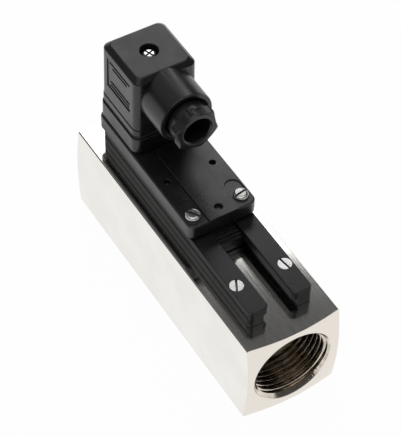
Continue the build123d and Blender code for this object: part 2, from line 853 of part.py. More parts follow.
def make_plug_cap():
    """Drafted shell with a bevelled top, a screw well and the gland's boss on its side."""
    cap = rounded_block(socket_x, cap_side, cap_side, cap_corner_radius, gasket_top, cap_top, cap_draft)
    cap = chamfer(cap.edges().group_by(Axis.Z)[-1], cap_top_bevel)
    wall_y = -cap_side / 2
    panel = Plane.XZ.offset(-wall_y) * Pos(socket_x, cap_top - panel_below_top - panel_height / 2)
    panel *= RectangleRounded(panel_length, panel_height, panel_corner_radius)
    cap -= extrude(panel, amount=-panel_depth - cap_height * math.tan(math.radians(cap_draft)))
    rim_top = gasket_top + cap_rim_height
    cap += rounded_block(socket_x, rim_side, rim_side, cap_corner_radius, gasket_top, rim_top)
    boss_start = gland_wall - cap_corner_radius
    cap += turned(
        [
            (boss_start, 0),
            (boss_start, gland_root_radius),
            (gland_end - gland_end_bevel, gland_end_radius),
            (gland_end, gland_end_radius - gland_end_bevel),
            (gland_end, 0),
        ],
        gland_z,
    )
    cavity = rounded_block(
        socket_x, cap_cavity_side, cap_cavity_side, cap_cavity_corner, gasket_top, cap_cavity_top
    )
    well_boss = cap_screw_well_radius + cap_screw_boss_wall
    cavity -= upright(well_boss, socket_x, 0, cap_cavity_top - cap_screw_boss_height, cap_cavity_top)
    cap -= cavity
    cap -= upright(cap_screw_well_radius, socket_x, 0, cap_screw_seat, cap_top)
    cap -= upright(screw_radius + screw_hole_clearance, socket_x, 0, gasket_top, cap_top)
    inner_wall = socket_x + cap_cavity_side / 2
    cap -= along_flow(gland_bore_radius, gland_seal_start, gland_end, gland_z)
    mouth_start = gland_end - gland_mouth_depth
    cap -= turned(
        [
            (mouth_start, 0),
            (mouth_start, gland_bore_radius),
            (gland_end, gland_mouth_radius),
            (gland_end, 0),
        ],
        gland_z,
    )
    cap -= along_flow(gland_throat_radius, inner_wall - gland_cut_spare, gland_seal_start, gland_z)
    return cap


def make_terminal_insert():
    """Block inside the plug with a pocket for each terminal."""
    side = cap_cavity_side - 2 * insert_fit
    top = gasket_top + insert_height
    block = rounded_block(socket_x, side, side, cap_cavity_corner, gasket_top, top)
    block -= upright(insert_screw_hole_radius, socket_x, 0, gasket_top, top)
    inner = blade_place - terminal_inside_blade - terminal_fit
    outer = blade_place + terminal_outside_blade + terminal_fit
    width = terminal_width / 2 + terminal_fit
    pocket = span_box(inner, outer, -width, width, insert_pocket_floor, top)
    for x, y, turn in blade_places():
        block -= Pos(socket_x, 0, 0) * Rot(0, 0, turn) * pocket
    return block - blade_cuts(blade_fit, gasket_top, insert_pocket_floor)


def make_terminals():
    """Four brass terminals, each with a slot for its blade and a tapped hole."""
    inner = blade_place - terminal_inside_blade
    outer = blade_place + terminal_outside_blade
    half = terminal_width / 2
    screw_place = blade_place - terminal_screw_inside_blade
    slot_reach = (blade_thickness + blade_fit) / 2
    slot_half = blade_width / 2 + blade_fit
    slot_start = blade_place - slot_reach
    slot_end = blade_place + slot_reach
    block = span_box(inner, outer, -half, half, insert_pocket_floor, terminal_top)
    block -= span_box(slot_start, slot_end, -slot_half, slot_half, insert_pocket_floor, terminal_top)
    block -= upright(terminal_screw_radius, screw_place, 0, insert_pocket_floor, terminal_top)
    return at_each_blade(block)


def make_terminal_screws():
    """Four small slotted screws in the terminals."""
    place = blade_place - terminal_screw_inside_blade
    head_top = terminal_top + terminal_screw_head_height
    shank = terminal_screw_radius - screw_fit
    screw = upright(shank, place, 0, terminal_top - terminal_screw_length, terminal_top)
    screw += upright(terminal_screw_head_radius, place, 0, terminal_top, head_top)
    slot = Box(4 * terminal_screw_head_radius, terminal_screw_slot, screw_slot_depth)
    return at_each_blade(screw - Pos(place, 0, head_top) * slot)


def at_each_blade(shape):
    """Copies of a shape at the four blades."""
    copies = []
    for x, y, turn in blade_places():
        copies += (Pos(socket_x, 0, 0) * Rot(0, 0, turn) * shape).solids()
    return copies


def make_plug_screw():
    """Long cross head screw through the plug into the socket."""
    head_top = cap_screw_seat + plug_head_height
    head = upright(plug_head_radius, socket_x, 0, cap_screw_seat, head_top)
    head = fillet(head.edges().group_by(Axis.Z)[-1], plug_head_round)
    arm = Box(plug_cross_length, plug_cross_width, 2 * screw_slot_depth)
    for turn in (0, 90):
        head -= Pos(socket_x, 0, head_top - screw_slot_depth) * Rot(0, 0, turn + plug_cross_turn) * arm
    end = socket_insert_top - socket_insert_length
    return head + upright(screw_radius - screw_fit, socket_x, 0, end, cap_screw_seat)


def make_gland_seal():
    """Rubber ring that grips the cable."""
    ring = along_flow(gland_bore_radius - gland_fit, gland_seal_start, gland_washer_start, gland_z)
    return ring - along_flow(gland_seal_bore, gland_seal_start, gland_washer_start, gland_z)


def make_gland_washer():
    """Clamp washer between the seal and the nut."""
    ring = along_flow(gland_bore_radius - gland_fit, gland_washer_start, gland_nut_start, gland_z)
    return ring - along_flow(gland_washer_bore, gland_washer_start, gland_nut_start, gland_z)


def make_gland_nut():
    """Gland nut: a spigot, a round neck and a bevelled hexagon with hollow sides, bored for the cable."""
    neck_end = gland_end + nut_neck_length
    end = neck_end + nut_hex_length
    corner = nut_flats / 2 / math.cos(math.radians(30))
    head = hexagon(nut_flats, neck_end, end, gland_z, nut_turn)
    head &= turned(
        [
            (neck_end, 0),
            (neck_end, corner - nut_bevel / 2),
            (neck_end + nut_bevel / 2, corner),
            (end - nut_bevel, corner),
            (end, nut_flats / 2 - nut_bevel / 2),
            (end, 0),
        ],
        gland_z,
    )
    hollow_place = nut_flats / 2 - nut_hollow_depth + nut_hollow_radius
    for side in range(6):
        angle = math.radians(90 + nut_turn + 60 * side)
        place = Pos(0, hollow_place * math.cos(angle), hollow_place * math.sin(angle))
        head -= place * along_flow(nut_hollow_radius, neck_end, end, gland_z)
    nut = head + along_flow(nut_neck_radius, gland_end + gland_fit, neck_end, gland_z)
    nut += along_flow(gland_bore_radius - gland_fit, gland_nut_start, gland_end + gland_fit, gland_z)
    nut -= along_flow(nut_bore_radius, gland_nut_start, end, gland_z)
    return nut - turned(
        [
            (end - nut_mouth_bevel, 0),
            (end - nut_mouth_bevel, nut_bore_radius),
            (end, nut_bore_radius + nut_mouth_bevel),
            (end, 0),
        ],
        gland_z,
    )


save("flow_body", make_flow_body())
save("inlet_guide_star", make_star(stop_face))
save("outlet_guide_star", make_star(sleeve_end))
save("guide_rod", make_guide_rod())
save("guide_rod_nut", make_rod_nut())
save("retaining_ring", make_retaining_ring())
save("measuring_sleeve", make_measuring_sleeve())
save("sleeve_seal", make_sleeve_seal())
save("float", make_float())
save("float_magnet", make_float_magnet())
save("float_cap", make_float_cap())
save("return_spring", make_return_spring())
save("rail_frame", make_rail_frame())
save("rail_screws", make_rail_screws())
save("switch_housing", make_switch_housing())
save("cover_strip", make_cover_strip())
save("clamp_inserts", make_clamp_inserts())
save("clamp_screw_left", make_clamp_screw(-1, left_clamp_turn))
save("clamp_screw_right", make_clamp_screw(1, right_clamp_turn))
save("slide_shoe", make_slide_shoe())
save("circuit_board", make_circuit_board())
save("reed_carrier", make_reed_carrier())
save("reed_switch", make_reed_switch())
save("reed_blades", make_reed_blades())
save("lead_wires", make_lead_wires())
save("plug_socket", make_plug_socket())
save("socket_insert", make_socket_insert())
save("contact_blades", make_contact_blades())
save("earth_blade", make_earth_blade())
save("flat_gasket", make_flat_gasket())
save("plug_cap", make_plug_cap())
save("terminal_insert", make_terminal_insert())
save("terminals", make_terminals())
save("terminal_screws", make_terminal_screws())
save("plug_screw", make_plug_screw())
save("gland_seal", make_gland_seal())
save("gland_washer", make_gland_washer())
save("gland_nut", make_gland_nut())
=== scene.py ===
# %% [markdown]
# # A variable area flow switch in Blender
# A square nickel plated bar carries the flow. A float inside it moves a magnet, and a reed switch
# slides on a black rail on top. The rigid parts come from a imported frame, in metres. Each part that
# shows is modelled again here at the same place, with the rounded edges and surfaces that light needs.

# %% Load the frame
import math

import bmesh
import bpy
from mathutils import Matrix, Vector


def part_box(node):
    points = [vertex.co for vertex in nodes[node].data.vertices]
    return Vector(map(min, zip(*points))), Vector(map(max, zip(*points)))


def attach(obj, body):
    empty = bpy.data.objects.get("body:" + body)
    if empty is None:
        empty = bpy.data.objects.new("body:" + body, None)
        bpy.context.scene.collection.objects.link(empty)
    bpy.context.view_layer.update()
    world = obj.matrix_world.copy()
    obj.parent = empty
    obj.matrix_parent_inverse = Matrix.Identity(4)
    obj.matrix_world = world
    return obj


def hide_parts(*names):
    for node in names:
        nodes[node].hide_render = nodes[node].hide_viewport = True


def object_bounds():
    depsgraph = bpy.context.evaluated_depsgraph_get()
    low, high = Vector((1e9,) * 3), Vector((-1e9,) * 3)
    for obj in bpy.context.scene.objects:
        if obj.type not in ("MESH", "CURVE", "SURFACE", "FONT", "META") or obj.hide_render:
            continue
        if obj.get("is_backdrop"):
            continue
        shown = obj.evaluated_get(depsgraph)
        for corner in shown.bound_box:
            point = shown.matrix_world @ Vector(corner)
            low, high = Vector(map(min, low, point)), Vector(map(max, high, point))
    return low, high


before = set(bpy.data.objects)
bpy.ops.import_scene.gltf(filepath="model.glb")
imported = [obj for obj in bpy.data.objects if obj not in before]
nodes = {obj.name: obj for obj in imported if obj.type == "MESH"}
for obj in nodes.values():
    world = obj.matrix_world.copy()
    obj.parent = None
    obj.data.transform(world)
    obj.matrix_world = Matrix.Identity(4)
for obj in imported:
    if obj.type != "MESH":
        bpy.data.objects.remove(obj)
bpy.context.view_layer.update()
MM = 0.001

# %% [markdown]
# ## Camera
# The photograph looks down on the outlet end from above. A camera fitted to the bar's corners gives
# its azimuth, elevation, roll, distance and lens. The picture's middle looks a little past the origin.

# %% Camera
CAMERA_AZIMUTH = math.radians(57.521)
CAMERA_ELEVATION = math.radians(48.827)
CAMERA_ROLL = math.radians(1.896)
CAMERA_DISTANCE = 0.754103
CAMERA_SIDE = -0.000887
CAMERA_RISE = 0.012799
CAMERA_LENS = 159.77
TARGET = Vector((0, 0, 0.020))

flat_reach = math.cos(CAMERA_ELEVATION)
back = Vector(
    (
        math.sin(CAMERA_AZIMUTH) * flat_reach,
        -math.cos(CAMERA_AZIMUTH) * flat_reach,
        math.sin(CAMERA_ELEVATION),
    )
)
level_right = Vector((0, 0, 1)).cross(back).normalized()
level_up = back.cross(level_right)
right = math.cos(CAMERA_ROLL) * level_right + math.sin(CAMERA_ROLL) * level_up
up = math.cos(CAMERA_ROLL) * level_up - math.sin(CAMERA_ROLL) * level_right

bpy.ops.object.camera_add()
camera = bpy.context.object
camera.name = "photo_camera"
camera.data.lens = CAMERA_LENS
camera.data.clip_start = 0.01
turn = Matrix((right, up, back)).transposed()
place = TARGET + back * CAMERA_DISTANCE + right * CAMERA_SIDE + up * CAMERA_RISE
camera.matrix_world = Matrix.Translation(place) @ turn.to_4x4()
bpy.context.scene.camera = camera
print("camera at", [round(v, 4) for v in place])

# %% [markdown]
# ## Helpers for modelling by hand
# Every piece starts as a primitive, is shaped in edit mode and finished with applied modifiers.
# An operator works on whatever is selected, so each helper first deselects everything else.


# %% Selecting
def clear_selection():
    """Object mode with nothing selected, so that a new primitive stands alone."""
    if bpy.context.object and bpy.context.object.mode != "OBJECT":
        bpy.ops.object.mode_set(mode="OBJECT")
    bpy.ops.object.select_all(action="DESELECT")


def use_only(piece):
    """Object mode, with one piece selected and active."""
    clear_selection()
    piece.select_set(True)
    bpy.context.view_layer.objects.active = piece


def edit(piece, kind):
    """Edit mode on one piece with nothing selected. kind is VERT, EDGE or FACE."""
    use_only(piece)
    bpy.ops.object.mode_set(mode="EDIT")
    bpy.ops.mesh.select_mode(type=kind)
    bpy.ops.mesh.select_all(action="DESELECT")
    return bmesh.from_edit_mesh(piece.data)


def pick_edges(piece, test):
    """Selects the edges whose two ends pass the test."""
    cage = edit(piece, "EDGE")
    for edge in cage.edges:
        edge.select = test(edge.verts[0].co, edge.verts[1].co)
    cage.select_flush_mode()
    bmesh.update_edit_mesh(piece.data)
    return sum(edge.select for edge in cage.edges)


def pick_faces(piece, test):
    """Selects the faces whose middle and normal pass the test."""
    cage = edit(piece, "FACE")
    for face in cage.faces:
        face.select = test(face.calc_center_median(), face.normal)
    cage.select_flush_mode()
    bmesh.update_edit_mesh(piece.data)
    return sum(face.select for face in cage.faces)


def bevel_edges(piece, test, offset, segments=1):
    """Bevels the edges that pass the test, and leaves edit mode."""
    count = pick_edges(piece, test)
    bpy.ops.mesh.bevel(offset=offset, segments=segments, affect="EDGES")
    bpy.ops.object.mode_set(mode="OBJECT")
    return count


def settle():
    """Moves place, turn and size into the mesh of the active object, which ends up at the origin."""
    bpy.ops.object.transform_apply(location=True, rotation=True, scale=True)


print("selecting:", [helper.__name__ for helper in (use_only, pick_edges, pick_faces, bevel_edges)])

# %% [markdown]
# ## Two kinds of blank
# Nearly everything on this object is either milled or moulded square, or turned. So two blanks are
# enough: a block between two corners, and a turned solid that follows a list of steps along an axis.

# %% Primitives at their place
def add_block(name, low, high):
    """Cube primitive stretched between two corners."""
    clear_selection()
    low, high = Vector(low), Vector(high)
    bpy.ops.mesh.primitive_cube_add(size=1, location=(low + high) / 2)
    piece = bpy.context.object
    piece.name = name
    piece.scale = high - low
    settle()
    return piece


AXES = {"X": Vector((1, 0, 0)), "Y": Vector((0, 1, 0)), "Z": Vector((0, 0, 1))}
TURNS = {"X": (0, math.pi / 2, 0), "Y": (-math.pi / 2, 0, 0), "Z": (0, 0, 0)}


def add_turned(name, axis, centre, profile, sides=96):
    """Turned solid: a filled circle, extruded and resized along (place, radius) steps."""
    clear_selection()
    along = AXES[axis]
    centre = Vector(centre)
    place, radius = profile[0]
    bpy.ops.mesh.primitive_circle_add(
        vertices=sides, radius=radius, fill_type="NGON", location=centre + along * place, rotation=TURNS[axis]
    )
    piece = bpy.context.object
    piece.name = name
    settle()
    bpy.ops.object.mode_set(mode="EDIT")
    bpy.ops.mesh.select_mode(type="FACE")
    bpy.ops.mesh.select_all(action="SELECT")
    for next_place, next_radius in profile[1:]:
        bpy.ops.mesh.extrude_region_move(TRANSFORM_OT_translate={"value": along * (next_place - place)})
        share = next_radius / radius
        sizes = [1 if along[i] else share for i in range(3)]
        bpy.ops.transform.resize(value=sizes, center_override=centre + along * next_place)
        place, radius = next_place, next_radius
    bpy.ops.mesh.select_all(action="SELECT")
    bpy.ops.mesh.normals_make_consistent(inside=False)
    bpy.ops.object.mode_set(mode="OBJECT")
    return piece


print("blanks:", add_block.__name__, add_turned.__name__, "along", list(AXES))

# %% [markdown]
# ## Cutting, joining and rounding
# A workshop drills, mills and files. Here a Boolean modifier takes one solid out of another or adds
# it, and a Bevel modifier breaks every sharp edge, because a real edge always catches some light.


# %% Modifiers that are applied
def add_modifier(piece, kind):
    """New modifier on one piece, to be set and then applied."""
    use_only(piece)
    bpy.ops.object.modifier_add(type=kind)
    return piece.modifiers[-1]


def combine(piece, other, operation):
    """Boolean of two pieces. The second one is used up."""
    modifier = add_modifier(piece, "BOOLEAN")
    modifier.operation = operation
    modifier.solver = "EXACT"
    modifier.object = other
    bpy.ops.object.modifier_apply(modifier=modifier.name)
    bpy.data.objects.remove(other)
    return piece


def cut(piece, *cutters):
    """Takes each cutter out of the piece."""
    for cutter in cutters:
        combine(piece, cutter, "DIFFERENCE")
    return piece


def mill(piece, name, low, high):
    """Cuts a block between two corners out of the piece."""
    return cut(piece, add_block(name, low, high))


def merge(piece, *others):
    """Adds each other solid to the piece."""
    for other in others:
        combine(piece, other, "UNION")
    return piece


def round_edges(piece, width, segments=2, limit=28.0):
    """Joins the faces that lie in one plane, then rounds every sharp edge."""
    use_only(piece)
    bpy.ops.object.mode_set(mode="EDIT")
    bpy.ops.mesh.select_all(action="SELECT")
    bpy.ops.mesh.remove_doubles(threshold=0.002 * MM)
    bpy.ops.mesh.dissolve_limited(angle_limit=math.radians(0.5))
    modifier = add_modifier(piece, "BEVEL")
    modifier.width = width
    modifier.segments = segments
    modifier.limit_method = "ANGLE"
    modifier.angle_limit = math.radians(limit)
    modifier.use_clamp_overlap = False
    bpy.ops.object.modifier_apply(modifier=modifier.name)


def soften(piece, width, segments=2, limit=28.0):
    """Rounds the sharp edges, then shades the piece so that its flat faces stay flat."""
    round_edges(piece, width, segments, limit)
    return shade(piece)


def shade(piece, angle=50):
    """Smooth shading over the rounded edges, with normals that follow the large flat faces."""
    use_only(piece)
    bpy.ops.object.shade_smooth_by_angle(angle=math.radians(angle))
    modifier = add_modifier(piece, "WEIGHTED_NORMAL")
    modifier.keep_sharp = True
    bpy.ops.object.modifier_apply(modifier=modifier.name)
    return piece


print("finishing:", [helper.__name__ for helper in (cut, mill, merge, round_edges, soften, shade)])

# %% [markdown]
# ## Handing a piece over
# Each finished piece gets its material, says which body it moves with, and names the frame's node
# that it stands for, so that the plain one hides.


# %% Handing over
def hand_over(piece, body, slot, material, *replaced):
    """Gives a finished piece its material, its body and the frame node that it stands for."""
    if not piece.data.materials:
        piece.data.materials.append(material)
    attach(piece, body)
    if replaced:
        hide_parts(*replaced)
    print(piece.name, "rides on", body, "faces:", len(piece.data.polygons))
    return piece


# %% [markdown]
# ## Materials
# Every finish is a small node tree on Object coordinates, which are metres here. A helper makes the
# shader and hangs a noise on its roughness and bump, because no real surface is even.


# %% A material with grain
def new_material(name, colour, metallic, roughness):
    """Principled material with its plain values set on the shader's own sockets."""
    material = bpy.data.materials.new(name)
    material.use_nodes = True
    shader = material.node_tree.nodes["Principled BSDF"]
    shader.inputs["Base Color"].default_value = (*colour, 1)
    shader.inputs["Metallic"].default_value = metallic
    shader.inputs["Roughness"].default_value = roughness
    return material


def new_nodes(tree, *kinds):
    """One new shader node of each kind."""
    return [tree.nodes.new("ShaderNode" + kind) for kind in kinds]


def add_noise(material, scale, stretch=(1, 1, 1), detail=3.0):
    """Noise on the piece's own coordinates, stretched where the finish has a direction."""
    tree = material.node_tree
    coordinates, mapping, noise = new_nodes(tree, "TexCoord", "Mapping", "TexNoise")
    mapping.inputs["Scale"].default_value = stretch
    noise.inputs["Scale"].default_value = scale
    noise.inputs["Detail"].default_value = detail
    tree.links.new(coordinates.outputs["Object"], mapping.inputs["Vector"])
    tree.links.new(mapping.outputs["Vector"], noise.inputs["Vector"])
    return noise.outputs["Fac"]


NOISE_LOW = 0.3
NOISE_HIGH = 0.7


def drive(material, source, kind, entry, output, target):
    """New node between a source and one of the shader's own sockets."""
    tree = material.node_tree
    (node,) = new_nodes(tree, kind)
    tree.links.new(source, node.inputs[entry])
    tree.links.new(node.outputs[output], tree.nodes["Principled BSDF"].inputs[target])
    return node


def vary_roughness(material, source, low, high):
    """Roughness that follows a noise between two values."""
    spread = drive(material, source, "MapRange", "Value", "Result", "Roughness")
    spread.inputs["From Min"].default_value = NOISE_LOW
    spread.inputs["From Max"].default_value = NOISE_HIGH
    spread.inputs["To Min"].default_value = low
    spread.inputs["To Max"].default_value = high


def vary_colour(material, source, dark, light):
    """Base colour that follows a noise between two colours."""
    first, last = drive(material, source, "ValToRGB", "Fac", "Color", "Base Color").color_ramp.elements
    first.position, last.position = NOISE_LOW, NOISE_HIGH
    first.color, last.color = (*dark, 1), (*light, 1)


def add_bump(material, source, height, strength):
    """Fine relief from a noise. The height is in metres."""
    bump = drive(material, source, "Bump", "Height", "Normal", "Normal")
    bump.inputs["Distance"].default_value = height
    bump.inputs["Strength"].default_value = strength


print("finish helpers:", [helper.__name__ for helper in (vary_roughness, vary_colour, add_bump)])

# %% [markdown]
# ### Nickel plate
# The bar is drawn along its length and plated. Its grain is noise stretched along X. The end faces
# are turned, so there the grain runs round the flow axis: noise of one dimension over the distance
# from that axis. Inside the ports the nickel is a little duller and painted darker: painted shade.

# %% Nickel
NICKEL = (0.84, 0.82, 0.78)
nickel = new_material("polished_nickel", NICKEL, 1.0, 0.16)
drawn_lines = add_noise(nickel, 40, stretch=(0.5, 60, 60), detail=6)
vary_roughness(nickel, drawn_lines, 0.05, 0.12)
add_bump(nickel, drawn_lines, 0.0025 * MM, 0.20)
cloud = add_noise(nickel, 55, detail=2)
vary_colour(nickel, cloud, (0.80, 0.775, 0.735), (0.86, 0.84, 0.805))

bar_low, bar_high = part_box("flow_body")
flow_z = (bar_low.z + bar_high.z) / 2


def add_rings(material, centre, pitch):
    """One dimensional noise over the distance from a line along X."""
    tree = material.node_tree
    coordinates, mapping, noise = new_nodes(tree, "TexCoord", "Mapping", "TexNoise")
    flatten, length = new_nodes(tree, "VectorMath", "VectorMath")
    mapping.inputs["Location"].default_value = (0, -centre.y, -centre.z)
    flatten.operation = "MULTIPLY"
    flatten.inputs[1].default_value = (0, 1, 1)
    length.operation = "LENGTH"
    noise.noise_dimensions = "1D"
    noise.inputs["Scale"].default_value = 1 / pitch
    noise.inputs["Detail"].default_value = 2
    tree.links.new(coordinates.outputs["Object"], mapping.inputs["Vector"])
    tree.links.new(mapping.outputs["Vector"], flatten.inputs[0])
    tree.links.new(flatten.outputs["Vector"], length.inputs[0])
    tree.links.new(length.outputs["Value"], noise.inputs["W"])
    return noise.outputs["Fac"]


turned_nickel = new_material("turned_nickel", (0.80, 0.75, 0.685), 1.0, 0.25)
tool_marks = add_rings(turned_nickel, Vector((0, 0, flow_z)), 0.35 * MM)
vary_roughness(turned_nickel, tool_marks, 0.16, 0.28)
add_bump(turned_nickel, tool_marks, 0.004 * MM, 0.25)

# Painted shade: the port nickel is darker than the bar's outside, with random stains in it.
shaded_port_nickel = new_material("shaded_port_nickel", (0.42, 0.36, 0.30), 1.0, 0.3)
port_stain = add_noise(shaded_port_nickel, 350)
vary_roughness(shaded_port_nickel, port_stain, 0.08, 0.18)
vary_colour(shaded_port_nickel, port_stain, (0.48, 0.42, 0.35), (0.78, 0.72, 0.64))
print("nickel finishes:", nickel.name, turned_nickel.name, shaded_port_nickel.name)


# %% [markdown]
# ### Black plastics
# The rail, the housing and the plug are moulded in black, glass filled polyamide. It is satin: a
# fine sparkle of grain in the bump, roughness that drifts, and a very dark grey that isn't quite even.


# %% Black plastics
def moulded(name, dark, light, low, high, grain, relief=0.015 * MM):
    """Moulded plastic with its grain and the grain's relief in metres."""
    material = new_material(name, light, 0.0, (low + high) / 2)
    speckle = add_noise(material, 1 / grain, detail=4)
    add_bump(material, speckle, relief, 0.22)
    drift = add_noise(material, 120, detail=2)
    vary_roughness(material, drift, low, high)
    vary_colour(material, speckle, dark, light)
    return material


rail_plastic = moulded("rail_plastic", (0.008, 0.008, 0.009), (0.016, 0.016, 0.019), 0.26, 0.34, 0.16 * MM)
housing_plastic = moulded(
    "housing_plastic", (0.010, 0.010, 0.011), (0.022, 0.022, 0.025), 0.24, 0.36, 0.40 * MM, 0.20 * MM
)
housing_plastic.node_tree.nodes["Principled BSDF"].inputs["IOR"].default_value = 1.62
plug_plastic = moulded("plug_plastic", (0.010, 0.010, 0.011), (0.019, 0.019, 0.023), 0.26, 0.36, 0.14 * MM)
grey_plastic = moulded("grey_plastic", (0.25, 0.25, 0.26), (0.34, 0.34, 0.35), 0.45, 0.55, 0.2 * MM)
rubber = moulded("seal_rubber", (0.012, 0.012, 0.012), (0.025, 0.025, 0.025), 0.55, 0.75, 0.3 * MM)
print("plastics:", rail_plastic.name, housing_plastic.name, plug_plastic.name)


# %% [markdown]
# ### Small metals
# Screws are nickel plated and bright. The guide parts in the passage are turned brass and steel.


# %% Small metals
def small_metal(name, dark, light, low, high, grain):
    """Metal of a small part, cloudy at the size of its grain."""
    material = new_material(name, light, 1.0, (low + high) / 2)
    cloud = add_noise(material, 1 / grain)
    vary_roughness(material, cloud, low, high)
    vary_colour(material, cloud, dark, light)
    add_bump(material, cloud, 0.01 * MM, 0.15)
    return material


screw_metal = small_metal("screw_nickel", (0.78, 0.77, 0.75), (0.92, 0.91, 0.89), 0.20, 0.32, 0.5 * MM)
# The clamp screws get a darker copy of the screw nickel: painted shade that dims their domes.
shaded_clamp_metal = small_metal("clamp_nickel_shaded", (0.50, 0.49, 0.47), (0.68, 0.67, 0.64), 0.24, 0.38, 0.5 * MM)
steel = small_metal("stainless_steel", (0.50, 0.50, 0.50), (0.66, 0.66, 0.65), 0.22, 0.38, 0.4 * MM)
brass = small_metal("turned_brass", (0.58, 0.42, 0.18), (0.76, 0.58, 0.28), 0.22, 0.40, 0.5 * MM)
tinned = small_metal("tinned_copper", (0.66, 0.65, 0.60), (0.80, 0.79, 0.75), 0.25, 0.40, 0.4 * MM)
ferrite = moulded("ferrite", (0.030, 0.030, 0.032), (0.070, 0.068, 0.066), 0.50, 0.70, 0.12 * MM)
board_green = moulded("board_green", (0.010, 0.060, 0.025), (0.020, 0.110, 0.050), 0.35, 0.50, 0.3 * MM)
wire_red = moulded("wire_red", (0.30, 0.030, 0.020), (0.42, 0.050, 0.035), 0.40, 0.55, 0.3 * MM)
reed_glass = new_material("reed_glass", (0.62, 0.80, 0.70), 0.0, 0.05)
reed_glass.node_tree.nodes["Principled BSDF"].inputs["Transmission Weight"].default_value = 0.9
glass_waves = add_noise(reed_glass, 600)
add_bump(reed_glass, glass_waves, 0.01 * MM, 0.1)
print("small metals:", screw_metal.name, steel.name, brass.name)

# %% [markdown]
# ## The bar
# On the real part a square bar is cut off and both ends are turned in a lathe, which leaves a flat
# ring and four sloping corners. The same steps work here: a block with its long edges bevelled is
# intersected with a turned blank, and a turned cutter takes out the ports and the passage.

# %% Bar
PORT_RADIUS = 16.62 * MM
PORT_MOUTH = 0.48 * MM
PORT_DEPTH = 19.0 * MM
STOP_RADIUS = 12.6 * MM
STOP_LENGTH = 4.0 * MM
PASSAGE_RADIUS = 14.0 * MM
END_RING_RADIUS = 20.2 * MM
END_SLOPE = 1.9 * MM / (28.28 * MM - END_RING_RADIUS)
BLANK_RADIUS = 28.7 * MM
BAR_CHAMFER = 0.42 * MM
CUT_SPARE = 1.0 * MM
BROKEN_EDGE = 0.07 * MM


def mirrored(steps):
    """The same steps at the other end, in the order in which X grows."""
    return [(-place, radius) for place, radius in reversed(steps)]


half = bar_high.x
axis_point = Vector((0, 0, flow_z))
bar = add_block("plated_bar", bar_low, bar_high)
bevel_edges(bar, lambda a, b: abs(a.x - b.x) > half, BAR_CHAMFER)
blank_end = half - END_SLOPE * (BLANK_RADIUS - END_RING_RADIUS)
turned_end = [(blank_end, BLANK_RADIUS), (half, END_RING_RADIUS)]
blank = add_turned("blank", "X", axis_point, mirrored(turned_end) + turned_end, sides=192)
combine(bar, blank, "INTERSECT")

port_end = half - PORT_DEPTH
stop_face = -port_end + STOP_LENGTH
ring_low, ring_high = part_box("retaining_ring")
mouth_radius = PORT_RADIUS + PORT_MOUTH
passage = [
    (-port_end, STOP_RADIUS),
    (stop_face, STOP_RADIUS),
    (stop_face, PASSAGE_RADIUS),
    (ring_low.x, PASSAGE_RADIUS),
    (ring_low.x, ring_high.y),
    (ring_high.x, ring_high.y),
    (ring_high.x, PASSAGE_RADIUS),
    (port_end, PASSAGE_RADIUS),
]
port = [
    (port_end, PORT_RADIUS),
    (half - PORT_MOUTH, PORT_RADIUS),
    (half, mouth_radius),
    (half + CUT_SPARE, mouth_radius),
]
cut(bar, add_turned("bore", "X", axis_point, mirrored(port) + passage + port, sides=160))
soften(bar, BROKEN_EDGE)
print("bar faces:", len(bar.data.polygons))

# %% [markdown]
# One piece can hold several materials, one on each face. The faces are told apart by their place:
# the inside lies within the port's radius, and of the others the end faces look along X.

# %% Bar materials
for material in (nickel, turned_nickel, shaded_port_nickel):
    bar.data.materials.append(material)
for face in bar.data.polygons:
    corners = [bar.data.vertices[i].co for i in face.vertices]
    reach = max(math.hypot(corner.y, corner.z - flow_z) for corner in corners)
    # Faces within the port's radius get the port nickel, which is painted shade.
    if reach < mouth_radius - 0.1 * MM:
        face.material_index = 2
    elif abs(face.normal.x) > 0.1:
        face.material_index = 1
hand_over(bar, "flow_body", "nickel_body", nickel, "flow_body")

# %% [markdown]
# ## The port threads
# A thread is one ridge wound round and round. A small upright square becomes the ridge's section:
# its crest edge is made narrower, and the Screw modifier winds it about X, one pitch for each turn. It
# is cut off square inside, and a cone takes its other end, as the countersink does on the real part.
# Its crest faces keep the plain turned nickel, and the rest of it carries the port's painted shade. The
# inlet's thread is a copy, turned half round about Z, which keeps it right handed.

# %% Port threads
THREAD_PITCH = 2.309 * MM
THREAD_DEPTH = 1.48 * MM
THREAD_ROOT = 2.02 * MM
THREAD_CREST_SHARE = 0.28
THREAD_SUNK = 0.12 * MM
THREAD_EDGE = 0.06 * MM
THREAD_TURNS = 10
CREST_FACING = -0.8


